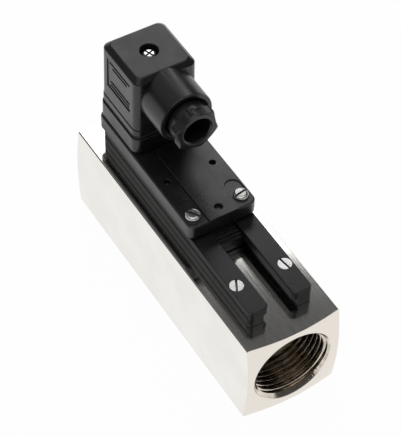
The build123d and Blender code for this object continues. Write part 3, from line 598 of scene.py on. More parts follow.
def add_thread(name, start, end):
    """Helical ridge that stands inwards from the port's wall, from its start to the port's mouth."""
    clear_selection()
    outer = PORT_RADIUS + THREAD_SUNK
    depth = THREAD_DEPTH + THREAD_SUNK
    middle = Vector((0, 0, outer - depth / 2))
    bpy.ops.mesh.primitive_plane_add(size=1, location=middle, rotation=(math.pi / 2, 0, 0))
    ridge = bpy.context.object
    ridge.name = name
    ridge.scale = (THREAD_ROOT, depth, 1)
    settle()
    pick_edges(ridge, lambda a, b: max(a.z, b.z) < middle.z)
    bpy.ops.transform.resize(value=(THREAD_CREST_SHARE, 1, 1), center_override=middle)
    bpy.ops.mesh.select_all(action="SELECT")
    bpy.ops.mesh.delete(type="ONLY_FACE")
    modifier = add_modifier(ridge, "SCREW")
    modifier.axis = "X"
    modifier.screw_offset = THREAD_PITCH
    modifier.iterations = THREAD_TURNS
    modifier.steps = 96
    modifier.render_steps = 96
    bpy.ops.object.modifier_apply(modifier=modifier.name)
    ridge.location = (end - THREAD_TURNS * THREAD_PITCH, 0, flow_z)
    settle()
    edit(ridge, "VERT")
    bpy.ops.mesh.select_all(action="SELECT")
    bpy.ops.mesh.bisect(plane_co=(start, 0, 0), plane_no=(1, 0, 0), use_fill=True, clear_inner=True)
    bpy.ops.mesh.select_all(action="SELECT")
    bpy.ops.mesh.fill_holes(sides=8)
    bpy.ops.mesh.select_all(action="SELECT")
    bpy.ops.mesh.normals_make_consistent(inside=False)
    bpy.ops.object.mode_set(mode="OBJECT")
    sink = THREAD_DEPTH + PORT_MOUTH + CUT_SPARE
    past = 3 * THREAD_PITCH
    cone = [(half - sink, mouth_radius - sink), (half + past, mouth_radius + past)]
    cut(ridge, add_turned("countersink", "X", axis_point, cone, sides=160))
    soften(ridge, THREAD_EDGE)
    edit(ridge, "EDGE")
    bpy.ops.mesh.select_all(action="SELECT")
    bpy.ops.mesh.delete_loose()
    bpy.ops.object.mode_set(mode="OBJECT")
    return ridge


outlet_thread = add_thread("outlet_thread", port_end + 0.1 * MM, half + THREAD_PITCH)
# Crest faces get the plain turned nickel; flanks and roots keep the port's painted shade.
for face in outlet_thread.data.polygons:
    outwards = Vector((0, face.center.y, face.center.z - flow_z)).normalized()
    face.material_index = 1 if face.normal.dot(outwards) < CREST_FACING else 0
use_only(outlet_thread)
bpy.ops.object.duplicate(linked=False)
inlet_thread = bpy.context.object
inlet_thread.name = "inlet_thread"
inlet_thread.rotation_euler.z = math.pi
settle()
for thread in (outlet_thread, inlet_thread):
    thread.data.materials.clear()
    thread.data.materials.append(shaded_port_nickel)
    thread.data.materials.append(turned_nickel)
    hand_over(thread, "flow_body", "nickel_body", shaded_port_nickel)

# %% [markdown]
# ## The guide rail
# The rail is one moulded fork. Its slot is open towards the outlet and undercut, so that lips hold
# the switch down. The slot is cut first, the six upright corners are rounded while they are still
# plain edges, and only then come the undercut, the side grooves and the screw seats.

# %% Rail
RAIL_CLOSED = 10.0 * MM
RAIL_SLOT = 5.3 * MM
RAIL_CHANNEL = 7.3 * MM
RAIL_LIP = 4.2 * MM
RAIL_CORNER = 2.0 * MM
GROOVE_RISE = 3.6 * MM
GROOVE_WIDTH = 0.9 * MM
GROOVE_DEPTH = 0.4 * MM
RAIL_EDGE = 0.40 * MM
SEAT_EDGE = 0.035 * MM

rail_low, rail_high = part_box("rail_frame")
rail = add_block("guide_rail", rail_low, rail_high)
slot_start = rail_low.x + RAIL_CLOSED
past_end = rail_high.x + CUT_SPARE
below = rail_low.z - CUT_SPARE
mill(rail, "slot", (slot_start, -RAIL_SLOT, below), (past_end, RAIL_SLOT, rail_high.z + CUT_SPARE))


def is_rail_corner(a, b):
    """True for an upright edge at either end of the rail."""
    upright = abs(a.z - b.z) > 0.5 * (rail_high.z - rail_low.z)
    at_end = min(abs(a.x - rail_low.x), abs(a.x - rail_high.x)) < 0.01 * MM
    return upright and at_end


corners = bevel_edges(rail, is_rail_corner, RAIL_CORNER, 8)
mill(rail, "channel", (slot_start, -RAIL_CHANNEL, below), (past_end, RAIL_CHANNEL, rail_high.z - RAIL_LIP))
groove_z = rail_low.z + GROOVE_RISE
for side in (-1, 1):
    start, end = sorted((side * (rail_high.y + CUT_SPARE), side * (rail_high.y - GROOVE_DEPTH)))
    mill(rail, "groove", (rail_low.x - CUT_SPARE, start, groove_z), (past_end, end, groove_z + GROOVE_WIDTH))
print("rail corners rounded:", corners)

# %% [markdown]
# ## The rail screws
# Four countersunk screws hold the rail on the bar. A drill and a countersink make each seat, which is
# one turned cutter here. The rail's own edges are rounded before, while they are still plain.

# %% Rail screw seats
SCREW_HEAD = 2.75 * MM
SCREW_SHANK = 1.48 * MM
SCREW_HOLE = 1.7 * MM
SEAT_RADIUS = 2.95 * MM
SEAT_DEPTH = 1.6 * MM
SCREW_SLOT = 0.75 * MM
SLOT_DEPTH = 0.7 * MM

screws_low, screws_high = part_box("rail_screws")
screw_x = screws_high.x - SCREW_HEAD
screw_y = screws_high.y - SCREW_HEAD
round_edges(rail, RAIL_EDGE, segments=4)
seat_profile = [
    (rail_low.z - CUT_SPARE, SCREW_HOLE),
    (rail_high.z - SEAT_DEPTH, SCREW_HOLE),
    (rail_high.z, SEAT_RADIUS),
    (rail_high.z + CUT_SPARE, SEAT_RADIUS),
]
for x in (-screw_x, screw_x):
    for y in (-screw_y, screw_y):
        cut(rail, add_turned("seat", "Z", (x, y, 0), seat_profile, sides=48))
soften(rail, SEAT_EDGE, segments=1)
hand_over(rail, "flow_body", "black_plastic", rail_plastic, "rail_frame")

# %% [markdown]
# A slot is sawn across each head, and its faces get a dark metal: painted shade in the slot. One screw is
# modelled at the origin and copied with its own mesh, and each copy is turned as it ended up.


# %% Rail screws
# Painted shade: a dark metal for the faces inside screw slots and recesses.
slot_shade_metal = small_metal("slot_shade_metal", (0.10, 0.10, 0.10), (0.22, 0.22, 0.21), 0.40, 0.60, 0.2 * MM)


def cut_slot(screw, x, y, top, turn, reach, width=SCREW_SLOT, depth=SLOT_DEPTH):
    """Saws a slot across a screw's head, turned about Z."""
    clear_selection()
    bpy.ops.mesh.primitive_cube_add(size=1, location=(x, y, top), rotation=(0, 0, math.radians(turn)))
    saw = bpy.context.object
    saw.scale = (reach, width, 2 * depth)
    settle()
    return cut(screw, saw)


def paint_slot_shade(screw, metal, top, floor):
    """Gives the sawn faces below the head's top a dark metal: painted shade in the slot."""
    screw.data.materials.append(metal)
    screw.data.materials.append(slot_shade_metal)
    centre = sum((Vector(corner) for corner in screw.bound_box), Vector()) / 8
    for face in screw.data.polygons:
        spread = face.center - centre
        outward = Vector((spread.x, spread.y, 0)).dot(face.normal)
        in_slot_shade = floor - 0.05 * MM < face.center.z < top - 0.1 * MM
        if in_slot_shade and outward <= 0.3 * spread.length:
            face.material_index = 1


def copy_screw(screw, name, x, y, turn):
    """Copy with its own mesh, turned about its axis and set at its place."""
    use_only(screw)
    bpy.ops.object.duplicate(linked=False)
    copied = bpy.context.object
    copied.name = name
    copied.rotation_euler.z = math.radians(turn)
    copied.location = (x, y, 0)
    settle()
    return copied


RAIL_SCREW_TURNS = {(-1, -1): 20, (-1, 1): 65, (1, -1): -28, (1, 1): 8}
profile = [
    (screws_low.z, SCREW_SHANK),
    (rail_high.z - SEAT_DEPTH, SCREW_SHANK),
    (rail_high.z - 0.30 * MM, SCREW_HEAD),
    (rail_high.z - 0.05 * MM, SCREW_HEAD),
]
first_screw = add_turned("first_rail_screw", "Z", (0, 0, 0), profile, sides=64)
cut_slot(first_screw, 0, 0, rail_high.z, 0, 4 * SCREW_HEAD)
soften(first_screw, 0.07 * MM)
# The slot's faces get painted shade.
paint_slot_shade(first_screw, screw_metal, rail_high.z, rail_high.z - SLOT_DEPTH)
for number, ((side_x, side_y), turn) in enumerate(RAIL_SCREW_TURNS.items(), 1):
    screw = copy_screw(first_screw, f"rail_screw_{number}", side_x * screw_x, side_y * screw_y, turn)
    replaced = ["rail_screws"] if number == 1 else []
    hand_over(screw, "flow_body", "screw_nickel", screw_metal, *replaced)
bpy.data.objects.remove(first_screw)

# %% [markdown]
# ## The switch housing
# A low tray with rounded corners stands on a narrower foot. The block's upright edges are bevelled
# into round corners, its bottom face is drawn in and extruded down for the foot, and the strip's
# seat, the tray, the pockets and the small holes are cut from above.

# %% Housing
HOUSING_CORNER = 3.0 * MM
HOUSING_EDGE = 0.7 * MM
FOOT_HEIGHT = 1.25 * MM
FOOT_END_INSET = 0.9 * MM
FOOT_SIDE_INSET = 1.45 * MM
TRAY_HALF = 5.4 * MM
TRAY_FRONT = 8.0 * MM
TRAY_BACK = 6.0 * MM
TRAY_FLOOR = 1.6 * MM
STRIP_FIT = 0.1 * MM
SHOE_HALF = 5.15 * MM
SHOE_RECESS = 1.0 * MM

housing_low, housing_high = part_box("switch_housing")
strip_low, strip_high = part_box("cover_strip")
socket_low, socket_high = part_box("plug_socket")
skirt_bottom = housing_low.z + FOOT_HEIGHT
housing = add_block("reed_housing", (housing_low.x, housing_low.y, skirt_bottom), housing_high)


def is_upright(a, b):
    """True for an edge along Z."""
    return abs(a.z - b.z) > 0.2 * MM and math.hypot(a.x - b.x, a.y - b.y) < 0.01 * MM


bevel_edges(housing, is_upright, HOUSING_CORNER, 10)
pick_faces(housing, lambda middle, normal: normal.z < -0.9)
length = housing_high.x - housing_low.x
width = housing_high.y - housing_low.y
housing_middle = (housing_low + housing_high) / 2
bpy.ops.mesh.extrude_region_move(TRANSFORM_OT_translate={"value": (0, 0, 0)})
bpy.ops.transform.resize(
    value=(1 - 2 * FOOT_END_INSET / length, 1 - 2 * FOOT_SIDE_INSET / width, 1),
    center_override=housing_middle,
)
bpy.ops.mesh.extrude_region_move(TRANSFORM_OT_translate={"value": (0, 0, -FOOT_HEIGHT)})
bevel_edges(housing, lambda a, b: min(a.z, b.z) > housing_high.z - 0.01 * MM, HOUSING_EDGE, 5)

above = housing_high.z + CUT_SPARE
seat_half = strip_high.y + STRIP_FIT
mill(
    housing,
    "tray",
    (housing_low.x + TRAY_BACK, -TRAY_HALF, skirt_bottom + TRAY_FLOOR),
    (housing_high.x - TRAY_FRONT, TRAY_HALF, above),
)
past_front = housing_high.x + CUT_SPARE
mill(housing, "seat", (socket_high.x, -seat_half, strip_low.z), (past_front, seat_half, above))
mill(
    housing,
    "recess",
    (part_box("slide_shoe")[0].x, -SHOE_HALF, housing_low.z - CUT_SPARE),
    (past_front - FOOT_END_INSET, SHOE_HALF, housing_low.z + SHOE_RECESS),
)
print("housing faces:", len(housing.data.polygons))

# %% [markdown]
# The two clamp screws stand in shallow oblong pockets. Such an outline is a block with its upright
# edges bevelled by almost half its width. The blind holes are turned cutters with a cone below, as a
# drill leaves it.

# %% Pockets and holes
POCKET_LENGTH = 11.9 * MM
POCKET_HALF = 3.3 * MM
POCKET_DEPTH = 0.5 * MM
POCKET_PAST_SCREW = 3.0 * MM
MARK_RADIUS = 1.25 * MM
MARK_DEPTH = 2.5 * MM
MARK_X = housing_high.x - 25.0 * MM
MARK_Y = 10.0 * MM
STRIP_HOLE_RADIUS = 1.55 * MM
STRIP_HOLE_X = housing_high.x - 4.2 * MM

clamp_low, clamp_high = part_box("clamp_screw_right")
clamp_x = (clamp_low.x + clamp_high.x) / 2
clamp_y = (clamp_low.y + clamp_high.y) / 2
for side in (-1, 1):
    y = side * clamp_y
    pocket_end = clamp_x + POCKET_PAST_SCREW
    pocket = add_block(
        "pocket",
        (pocket_end - POCKET_LENGTH, y - POCKET_HALF, housing_high.z - POCKET_DEPTH),
        (pocket_end, y + POCKET_HALF, above),
    )
    bevel_edges(pocket, is_upright, POCKET_HALF - 0.02 * MM, 14)
    hole = [(housing_low.z - CUT_SPARE, SCREW_HOLE), (above, SCREW_HOLE)]
    mark = [
        (housing_high.z - MARK_DEPTH - 0.5 * MM, 0.1 * MM),
        (housing_high.z - MARK_DEPTH, MARK_RADIUS),
        (housing_high.z - 0.15 * MM, MARK_RADIUS),
        (housing_high.z + 0.05 * MM, MARK_RADIUS + 0.2 * MM),
    ]
    cut(
        housing,
        pocket,
        add_turned("hole", "Z", (clamp_x, y, 0), hole, sides=48),
        add_turned("mark", "Z", (MARK_X, side * MARK_Y, 0), mark, sides=48),
    )
soften(housing, 0.10 * MM, segments=3)
hand_over(housing, "switch", "black_plastic", housing_plastic, "switch_housing")

# %% [markdown]
# ## The cover strip
# A flat strip closes the tray over the reed switch. It stands a little above the housing and past its
# front, which is why its rim catches light. It is a block with one turned hole.

# %% Cover strip
strip = add_block("cover_strip_top", strip_low, strip_high)
strip_hole = [
    (strip_low.z - CUT_SPARE, STRIP_HOLE_RADIUS),
    (strip_high.z - 0.2 * MM, STRIP_HOLE_RADIUS),
    (strip_high.z + 0.05 * MM, STRIP_HOLE_RADIUS + 0.25 * MM),
]
cut(strip, add_turned("strip_hole", "Z", (STRIP_HOLE_X, 0, 0), strip_hole, sides=64))
soften(strip, 0.20 * MM, segments=3)
hand_over(strip, "switch", "black_plastic", housing_plastic, "cover_strip")

# %% [markdown]
# ## The clamp screws
# Slotted screws with a rounded head lock the switch on the rail. The dome is three turned steps that
# the bevel rounds further. One screw is modelled, and both are copies of it.

# %% Clamp screws
CLAMP_TURNS = {"left": 35, "right": 100}
CLAMP_HEAD = 3.0 * MM
CLAMP_SLOT = 0.8 * MM
low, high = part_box("clamp_screw_right")
seat = housing_high.z - POCKET_DEPTH
rise = high.z - seat
profile = [
    (low.z, SCREW_SHANK - 0.3 * MM),
    (low.z + 0.3 * MM, SCREW_SHANK),
    (seat, SCREW_SHANK),
    (seat, CLAMP_HEAD),
    (seat + 0.55 * rise, CLAMP_HEAD),
    (seat + 0.78 * rise, CLAMP_HEAD - 0.20 * MM),
    (seat + 0.93 * rise, CLAMP_HEAD - 0.62 * MM),
    (high.z, CLAMP_HEAD - 1.3 * MM),
]
first_screw = add_turned("first_clamp_screw", "Z", (0, 0, 0), profile, sides=96)
cut_slot(first_screw, 0, 0, high.z, 0, 4 * CLAMP_HEAD, width=CLAMP_SLOT, depth=CLAMP_SLOT)
soften(first_screw, 0.08 * MM)
# The slot's faces get painted shade, and the screw gets the darker clamp nickel.
paint_slot_shade(first_screw, shaded_clamp_metal, high.z, high.z - CLAMP_SLOT)
for name, turn in CLAMP_TURNS.items():
    low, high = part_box("clamp_screw_" + name)
    middle = (low + high) / 2
    screw = copy_screw(first_screw, "clamp_head_" + name, middle.x, middle.y, turn)
    hand_over(screw, "clamp_screw_" + name, "screw_nickel", screw_metal, "clamp_screw_" + name)
bpy.data.objects.remove(first_screw)

# %% [markdown]
# ## The slide shoe
# Under the housing a T shaped tongue runs in the rail. Its nose looks out below the housing's front
# with a few teeth for a fingernail. One tooth gap is modelled as a block and repeated by a loop.

# %% Slide shoe
SHOE_NECK = 5.1 * MM
SHOE_NOSE_DROP = 1.35 * MM
TOOTH_PITCH = 1.8 * MM
TOOTH_DEPTH = 0.9 * MM
TEETH = 3

shoe_low, shoe_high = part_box("slide_shoe")
lip_gap = 0.3 * MM
foot_top = rail_high.z - RAIL_LIP - lip_gap
neck_front = housing_high.x - FOOT_END_INSET
nose_top = rail_high.z - SHOE_NOSE_DROP
shoe = add_block("slide_tongue", shoe_low, (shoe_high.x, shoe_high.y, foot_top))
merge(
    shoe,
    add_block("neck", (shoe_low.x, -SHOE_NECK, foot_top - CUT_SPARE), (neck_front, SHOE_NECK, shoe_high.z)),
    add_block(
        "nose", (neck_front - CUT_SPARE, -SHOE_NECK, foot_top - CUT_SPARE), (shoe_high.x, SHOE_NECK, nose_top)
    ),
)
for i in range(TEETH):
    start = shoe_high.x - TOOTH_PITCH * (i + 0.5)
    mill(
        shoe,
        "gap",
        (start, -SHOE_NECK - CUT_SPARE, nose_top - TOOTH_DEPTH),
        (start + TOOTH_PITCH / 2, SHOE_NECK + CUT_SPARE, nose_top + CUT_SPARE),
    )
soften(shoe, 0.12 * MM)
hand_over(shoe, "switch", "black_plastic", rail_plastic, "slide_shoe")


# %% [markdown]
# ## The plug socket and its gasket
# The socket is a rounded block on a slightly smaller foot, which draws a dark line round its base.
# The gasket shows as a soft rounded lip between two thin shadows.


# %% Rounded blocks
def add_rounded(name, low, high, corner, segments=10):
    """Block with its four upright edges rounded."""
    piece = add_block(name, low, high)
    bevel_edges(piece, is_upright, corner, segments)
    return piece


SOCKET_CORNER = 3.6 * MM
SOCKET_FOOT_HEIGHT = 0.6 * MM
SOCKET_FOOT_INSET = 0.5 * MM
socket_x = (socket_low.x + socket_high.x) / 2
inset = Vector((SOCKET_FOOT_INSET, SOCKET_FOOT_INSET, 0))
foot_line = socket_low.z + SOCKET_FOOT_HEIGHT
socket = add_rounded("socket_block", (socket_low.x, socket_low.y, foot_line), socket_high, SOCKET_CORNER)
foot_high = Vector((socket_high.x, socket_high.y, foot_line + CUT_SPARE)) - inset
foot = add_rounded("foot", socket_low + inset, foot_high, SOCKET_CORNER - SOCKET_FOOT_INSET)
merge(socket, foot)
soften(socket, 0.35 * MM, segments=3)
hand_over(socket, "switch", "black_plastic", plug_plastic, "plug_socket")

# %% Gasket
GASKET_LIP = 0.2 * MM
GASKET_LIP_HALF = 0.25 * MM
gasket_low, gasket_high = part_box("flat_gasket")
lip_inset = Vector((GASKET_LIP, GASKET_LIP, 0))
gasket = add_rounded("plug_gasket", gasket_low + lip_inset, gasket_high - lip_inset, 2.8 * MM)
gasket_middle = (gasket_low.z + gasket_high.z) / 2
lip = add_rounded(
    "lip",
    (gasket_low.x, gasket_low.y, gasket_middle - GASKET_LIP_HALF),
    (gasket_high.x, gasket_high.y, gasket_middle + GASKET_LIP_HALF),
    3.0 * MM,
)
merge(gasket, lip)
soften(gasket, 0.12 * MM)
hand_over(gasket, "switch", "seal_rubber", rubber, "flat_gasket")

# %% [markdown]
# ## The plug
# The plug's cap tapers a little towards the top, so that it leaves its mould, and its top edge is
# bevelled by 2 mm. The taper is a resize of the top face, the bevel another extrusion of it. The
# gland's boss is turned and merged into the wall.

# %% Plug cap
CAP_SIDE = 26.9 * MM
CAP_CORNER = 3.0 * MM
CAP_BEVEL = 1.9 * MM
CAP_DRAFT = math.radians(0.4)
CAP_RIM_HEIGHT = 2.7 * MM
CAP_RIM_PROUD = 0.25 * MM
WELL_RADIUS = 3.6 * MM
WELL_DEPTH = 3.4 * MM

cap_low, cap_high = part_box("plug_cap")
cap_half = CAP_SIDE / 2
cap_base = (socket_x - cap_half, -cap_half, cap_low.z)
cap_shoulder = (socket_x + cap_half, cap_half, cap_high.z - CAP_BEVEL)
cap = add_rounded("plug_cap_shell", cap_base, cap_shoulder, CAP_CORNER)
pick_faces(cap, lambda middle, normal: normal.z > 0.9)
cap_rise = cap_high.z - CAP_BEVEL - cap_low.z
draft_share = 1 - cap_rise * math.tan(CAP_DRAFT) / cap_half
cap_axis = Vector((socket_x, 0, cap_high.z))
bpy.ops.transform.resize(value=(draft_share, draft_share, 1), center_override=cap_axis)
bpy.ops.mesh.extrude_region_move(TRANSFORM_OT_translate={"value": (0, 0, CAP_BEVEL)})
bevel_share = 1 - CAP_BEVEL / (cap_half * draft_share)
bpy.ops.transform.resize(value=(bevel_share, bevel_share, 1), center_override=cap_axis)
round_edges(cap, 0.35 * MM, segments=4)
rim_half = cap_half + CAP_RIM_PROUD
rim = add_rounded(
    "rim",
    (socket_x - rim_half, -rim_half, cap_low.z),
    (socket_x + rim_half, rim_half, cap_low.z + CAP_RIM_HEIGHT),
    CAP_CORNER + CAP_RIM_PROUD,
)
round_edges(rim, 0.10 * MM)
merge(cap, rim)
print("cap is", round(cap_high.z / MM, 2), "mm high at its top")

# %% [markdown]
# The boss for the cable gland is a turned stub on the front wall, bored out from its mouth. The
# screw's well is another turned cutter from above.

# %% Gland boss and screw well
GLAND_BELOW_TOP = 0.1 * MM
GLAND_ROOT = 11.3 * MM
GLAND_END = 11.2 * MM
GLAND_BEVEL = 0.7 * MM
GLAND_MOUTH = 9.6 * MM
GLAND_MOUTH_DEPTH = 1.4 * MM
GLAND_BORE = 8.0 * MM
GLAND_FLOOR = 1.2 * MM
GLAND_THROAT = 5.6 * MM
PANEL_BELOW_TOP = 4.6 * MM
PANEL_HEIGHT = 14.4 * MM
PANEL_HALF = 8.7 * MM
PANEL_DEPTH = 0.3 * MM

nut_low, nut_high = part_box("gland_nut")
gland_z = cap_high.z - GLAND_BELOW_TOP - GLAND_ROOT
wall_x = socket_x + cap_half
gland_end = cap_high.x
gland_point = Vector((0, 0, gland_z))
boss = [
    (wall_x - CAP_CORNER, GLAND_ROOT),
    (gland_end - GLAND_BEVEL, GLAND_END),
    (gland_end - 0.3 * GLAND_BEVEL, GLAND_END - 0.3 * GLAND_BEVEL),
    (gland_end, GLAND_END - GLAND_BEVEL),
]
merge(cap, add_turned("boss", "X", gland_point, boss, sides=144))
gland_start = wall_x + GLAND_FLOOR
gland_steps = [
    (gland_start, GLAND_BORE),
    (gland_end - GLAND_MOUTH_DEPTH, GLAND_BORE),
    (gland_end, GLAND_MOUTH),
    (gland_end + CUT_SPARE, GLAND_MOUTH),
]
throat = [(wall_x - 4 * MM, GLAND_THROAT), (gland_start + 0.1 * MM, GLAND_THROAT)]
well = [
    (cap_high.z - WELL_DEPTH, WELL_RADIUS),
    (cap_high.z - 0.25 * MM, WELL_RADIUS),
    (cap_high.z + 0.05 * MM, WELL_RADIUS + 0.3 * MM),
]
cut(
    cap,
    add_turned("gland_bore", "X", gland_point, gland_steps, sides=96),
    add_turned("throat", "X", gland_point, throat, sides=64),
    add_turned("well", "Z", (socket_x, 0, 0), well, sides=72),
)
print("gland axis at", round(gland_z / MM, 2), "mm")

# %% [markdown]
# The plug's left wall has a sunk panel with plain raised lines, as a place for a type plate. Nothing
# is written on it. Each line is given by its drop below the panel's top and its two ends, in mm.

# %% Panel on the plug
panel_top = cap_high.z - PANEL_BELOW_TOP
panel_wall = -cap_half - CUT_SPARE
draft_there = (panel_top - cap_low.z) * math.tan(CAP_DRAFT)
panel_floor = -cap_half + PANEL_DEPTH + draft_there
mill(
    cap,
    "panel",
    (socket_x - PANEL_HALF, panel_wall, panel_top - PANEL_HEIGHT),
    (socket_x + PANEL_HALF, panel_floor, panel_top),
)
LINE_HALF = 0.28 * MM
LINE_PROUD = 0.28 * MM
LINES = [(1.6, -7.2, 7.4), (3.4, -5.0, 5.4), (11.2, -6.6, 7.4), (12.9, -6.6, 7.0)]
for drop, start, end in LINES:
    z = panel_top - drop * MM
    line = add_block(
        "line",
        (socket_x + start * MM, panel_floor - LINE_PROUD, z - LINE_HALF),
        (socket_x + end * MM, panel_floor + 0.2 * MM, z + LINE_HALF),
    )
    merge(cap, line)
shade(cap, angle=32)
hand_over(cap, "switch", "plug_plastic", plug_plastic, "plug_cap")

# %% [markdown]
# ## The plug's screw
# One long screw with a cross recess holds the plug. It sits deep in its well. Two slots at right
# angles make the cross.

# %% Plug screw
CROSS_TURN = 20
CROSS_REACH = 4.3 * MM
CROSS_WIDTH = 0.74 * MM
CROSS_DEPTH = 0.8 * MM
PLUG_HEAD = 2.8 * MM
low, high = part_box("plug_screw")
seat = cap_high.z - WELL_DEPTH
profile = [
    (low.z, SCREW_SHANK),
    (seat, SCREW_SHANK),
    (seat, PLUG_HEAD),
    (high.z - 0.9 * MM, PLUG_HEAD),
    (high.z - 0.35 * MM, PLUG_HEAD - 0.3 * MM),
    (high.z, PLUG_HEAD - 1.0 * MM),
]
plug_screw = add_turned("plug_screw_head", "Z", (socket_x, 0, 0), profile, sides=72)
for turn in (CROSS_TURN, CROSS_TURN + 90):
    cut_slot(plug_screw, socket_x, 0, high.z, turn, CROSS_REACH, CROSS_WIDTH, CROSS_DEPTH)
soften(plug_screw, 0.05 * MM)
# The cross recess's faces get painted shade.
paint_slot_shade(plug_screw, screw_metal, high.z, high.z - CROSS_DEPTH)
hand_over(plug_screw, "plug_screw", "screw_nickel", screw_metal, "plug_screw")

# %% [markdown]
# ## The gland nut
# A nut is a six sided cylinder whose corners are turned off. So the hexagon is intersected with a
# turned blank. Its sides are a little hollow, which six large cylinders cut. Then the round neck and
# spigot are merged on, and the cable's hole is cut.

# %% Gland nut
NUT_FLATS = 16.8 * MM
NUT_TURN = -17.0
NUT_NECK_RADIUS = 8.2 * MM
NUT_HEX_LENGTH = 4.3 * MM
NUT_HOLLOW_LENGTH = 7.8 * MM
NUT_HOLLOW_DEPTH = 0.5 * MM
NUT_BEVEL = 0.8 * MM
NUT_BORE = 5.6 * MM

hex_start = nut_high.x - NUT_HEX_LENGTH
corner_radius = NUT_FLATS / 2 / math.cos(math.pi / 6)
clear_selection()
bpy.ops.mesh.primitive_cylinder_add(
    vertices=6, radius=corner_radius, depth=NUT_HEX_LENGTH, rotation=TURNS["X"]
)
nut = bpy.context.object
nut.name = "gland_hex_nut"
settle()
nut.rotation_euler.x = math.radians(NUT_TURN)
nut.location = (hex_start + NUT_HEX_LENGTH / 2, 0, gland_z)
settle()
rounding = [
    (hex_start - 0.01 * MM, corner_radius - NUT_BEVEL / 2),
    (hex_start + NUT_BEVEL / 2, corner_radius + 0.02 * MM),
    (nut_high.x - NUT_BEVEL, corner_radius + 0.02 * MM),
    (nut_high.x, NUT_FLATS / 2 - NUT_BEVEL / 2),
]
combine(nut, add_turned("rounding", "X", gland_point, rounding, sides=144), "INTERSECT")
hollow_radius = (NUT_HOLLOW_LENGTH**2 / 4 + NUT_HOLLOW_DEPTH**2) / (2 * NUT_HOLLOW_DEPTH)
hollow_place = NUT_FLATS / 2 - NUT_HOLLOW_DEPTH + hollow_radius
for step in range(6):
    angle = math.radians(90 + NUT_TURN + 60 * step)
    centre = gland_point + Vector((0, math.cos(angle), math.sin(angle))) * hollow_place
    ends = [(hex_start - CUT_SPARE, hollow_radius), (nut_high.x + CUT_SPARE, hollow_radius)]
    cut(nut, add_turned("hollow", "X", centre, ends, sides=180))
spigot_radius = GLAND_BORE - 0.1 * MM
neck = [(gland_end + 0.1 * MM, NUT_NECK_RADIUS), (hex_start + 0.5 * MM, NUT_NECK_RADIUS)]
spigot = [(nut_low.x, spigot_radius), (gland_end + 0.6 * MM, spigot_radius)]
hole = [
    (nut_low.x - CUT_SPARE, NUT_BORE),
    (nut_high.x - 0.6 * MM, NUT_BORE),
    (nut_high.x + 0.1 * MM, NUT_BORE + 0.7 * MM),
]
merge(nut, add_turned("neck", "X", gland_point, neck), add_turned("spigot", "X", gland_point, spigot))
cut(nut, add_turned("hole", "X", gland_point, hole))
soften(nut, 0.12 * MM, segments=3)
hand_over(nut, "gland_nut", "black_plastic", plug_plastic, "gland_nut")

# %% [markdown]
# ## Parts that keep their own shape
# The inner parts are right as they come from the frame. They only get their finishes: brass stars
# and sleeve, a steel rod, a black float, and the board, contacts and terminals of the switch.

# %% Finishes for the frame's parts
FINISHES = {
    brass: [
        "inlet_guide_star",
        "outlet_guide_star",
        "measuring_sleeve",
        "clamp_inserts",
        "socket_insert",
        "terminals",
    ],
    steel: ["guide_rod", "guide_rod_nut", "retaining_ring", "return_spring", "gland_washer"],
    rubber: ["sleeve_seal", "gland_seal"],
    rail_plastic: ["float", "float_cap"],
    ferrite: ["float_magnet"],
    board_green: ["circuit_board"],
    grey_plastic: ["reed_carrier", "terminal_insert"],
    reed_glass: ["reed_switch"],
    tinned: ["reed_blades", "contact_blades", "earth_blade"],
    wire_red: ["lead_wires"],
    screw_metal: ["terminal_screws"],
}
for material, names in FINISHES.items():
    for name in names:
        nodes[name].data.materials.clear()
        nodes[name].data.materials.append(material)
print("frame parts with a finish:", sum(len(names) for names in FINISHES.values()))

# %% [markdown]
# ## Floor, light and background
# The photograph is a cut-out on white. A wide pale bowl stands in for the studio's floor and wall.
# Light Path shows it white to the camera and to reflections, so the polished sides look pale, and
# the rest of it keeps a soft shadow. The sky above is dimmer: the bar's mirror like top shows that.


# %% Floor
FLOOR_RADIUS = 1.6
FLOOR_RIM = ((0.10, 1.3), (0.28, 1.15))
FLOOR_GLOW = 0.95


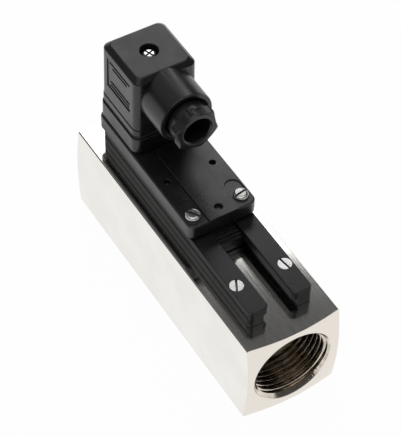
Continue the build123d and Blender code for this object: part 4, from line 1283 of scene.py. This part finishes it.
def add_floor():
    """Flat disc whose rim rises, so that low views see white as well."""
    clear_selection()
    place = Vector((0, 0, -0.0002))
    bpy.ops.mesh.primitive_circle_add(vertices=96, radius=FLOOR_RADIUS, fill_type="NGON", location=place)
    floor = bpy.context.object
    floor.name = "studio_floor"
    settle()
    pick_edges(floor, lambda a, b: True)
    for rise, share in FLOOR_RIM:
        bpy.ops.mesh.extrude_edges_move(TRANSFORM_OT_translate={"value": (0, 0, rise)})
        bpy.ops.transform.resize(value=(share, share, 1), center_override=place)
    bpy.ops.object.mode_set(mode="OBJECT")
    bpy.ops.object.shade_smooth_by_angle(angle=math.radians(30))
    material = bpy.data.materials.new("studio_white")
    material.use_nodes = True
    tree = material.node_tree
    shader = tree.nodes["Principled BSDF"]
    shader.inputs["Base Color"].default_value = (0.9, 0.9, 0.9, 1)
    shader.inputs["Roughness"].default_value = 0.9
    shader.inputs["Specular IOR Level"].default_value = 0.0
    glow, path, share, mix = new_nodes(tree, "Emission", "LightPath", "Math", "MixShader")
    glow.inputs["Strength"].default_value = 1.02
    seen = path.outputs["Is Camera Ray"]
    for ray in ("Is Glossy Ray", "Is Transmission Ray"):
        (either,) = new_nodes(tree, "Math")
        either.operation = "MAXIMUM"
        tree.links.new(seen, either.inputs[0])
        tree.links.new(path.outputs[ray], either.inputs[1])
        seen = either.outputs["Value"]
    share.operation = "MULTIPLY"
    share.inputs[1].default_value = FLOOR_GLOW
    tree.links.new(seen, share.inputs[0])
    tree.links.new(share.outputs["Value"], mix.inputs["Fac"])
    tree.links.new(shader.outputs["BSDF"], mix.inputs[1])
    tree.links.new(glow.outputs["Emission"], mix.inputs[2])
    tree.links.new(mix.outputs["Shader"], tree.nodes["Material Output"].inputs["Surface"])
    floor.data.materials.append(material)
    floor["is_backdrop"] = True
    return floor


floor = add_floor()
print("floor:", floor.name)

# %% [markdown]
# One large soft lamp hangs behind the part, where the polished top mirrors it towards the camera. Its
# edge is why the far end of the top is white and the near end grey. A dim one on the left is what the
# rail's wall mirrors by way of the nickel. Two more hang high up, where no upright corner mirrors them.

# %% World and lamps
world = bpy.data.worlds.new("studio_world")
bpy.context.scene.world = world
world.use_nodes = True
sky = world.node_tree.nodes["Background"]
sky.inputs["Color"].default_value = (0.97, 0.98, 1.0, 1)
sky.inputs["Strength"].default_value = 0.09


def add_lamp(name, place, size, power):
    """Square area lamp that looks at the object."""
    bpy.ops.object.light_add(type="AREA", location=place)
    lamp = bpy.context.object
    lamp.name = name
    lamp.data.size = size
    lamp.data.energy = power
    aim = TARGET - Vector(place)
    lamp.rotation_euler = aim.to_track_quat("-Z", "Y").to_euler()
    return lamp


def aloft(azimuth, elevation, distance):
    """Point seen from the object at an azimuth from +X and an elevation, in degrees."""
    turn, rise = math.radians(azimuth), math.radians(elevation)
    level = math.cos(rise) * distance
    return TARGET + Vector((math.cos(turn) * level, math.sin(turn) * level, math.sin(rise) * distance))


SOFTBOX_SIZE = 0.6
SOFTBOX_DISTANCE = 1.2
SOFTBOX_EDGE = 51.3
softbox_reach = math.degrees(math.atan(SOFTBOX_SIZE / 2 / SOFTBOX_DISTANCE))
add_lamp("back_softbox", aloft(152, SOFTBOX_EDGE - softbox_reach, SOFTBOX_DISTANCE), SOFTBOX_SIZE, 2.3)
add_lamp("side_softbox", aloft(212, 49, 1.2), 1.0, 0.8)
add_lamp("left_lamp", aloft(290, 75, 1.4), 1.0, 3.0)
add_lamp("right_lamp", aloft(60, 75, 1.4), 1.0, 2.6)
bpy.context.scene.view_settings.view_transform = "Standard"

# %% [markdown]
# ## Size and end
# The size of the dressed part's box is printed, in mm. The dressed part has to stay within the
# frame's own box.

# %% Finish
low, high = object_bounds()
print("box in mm:", [round(v / MM, 3) for v in high - low])
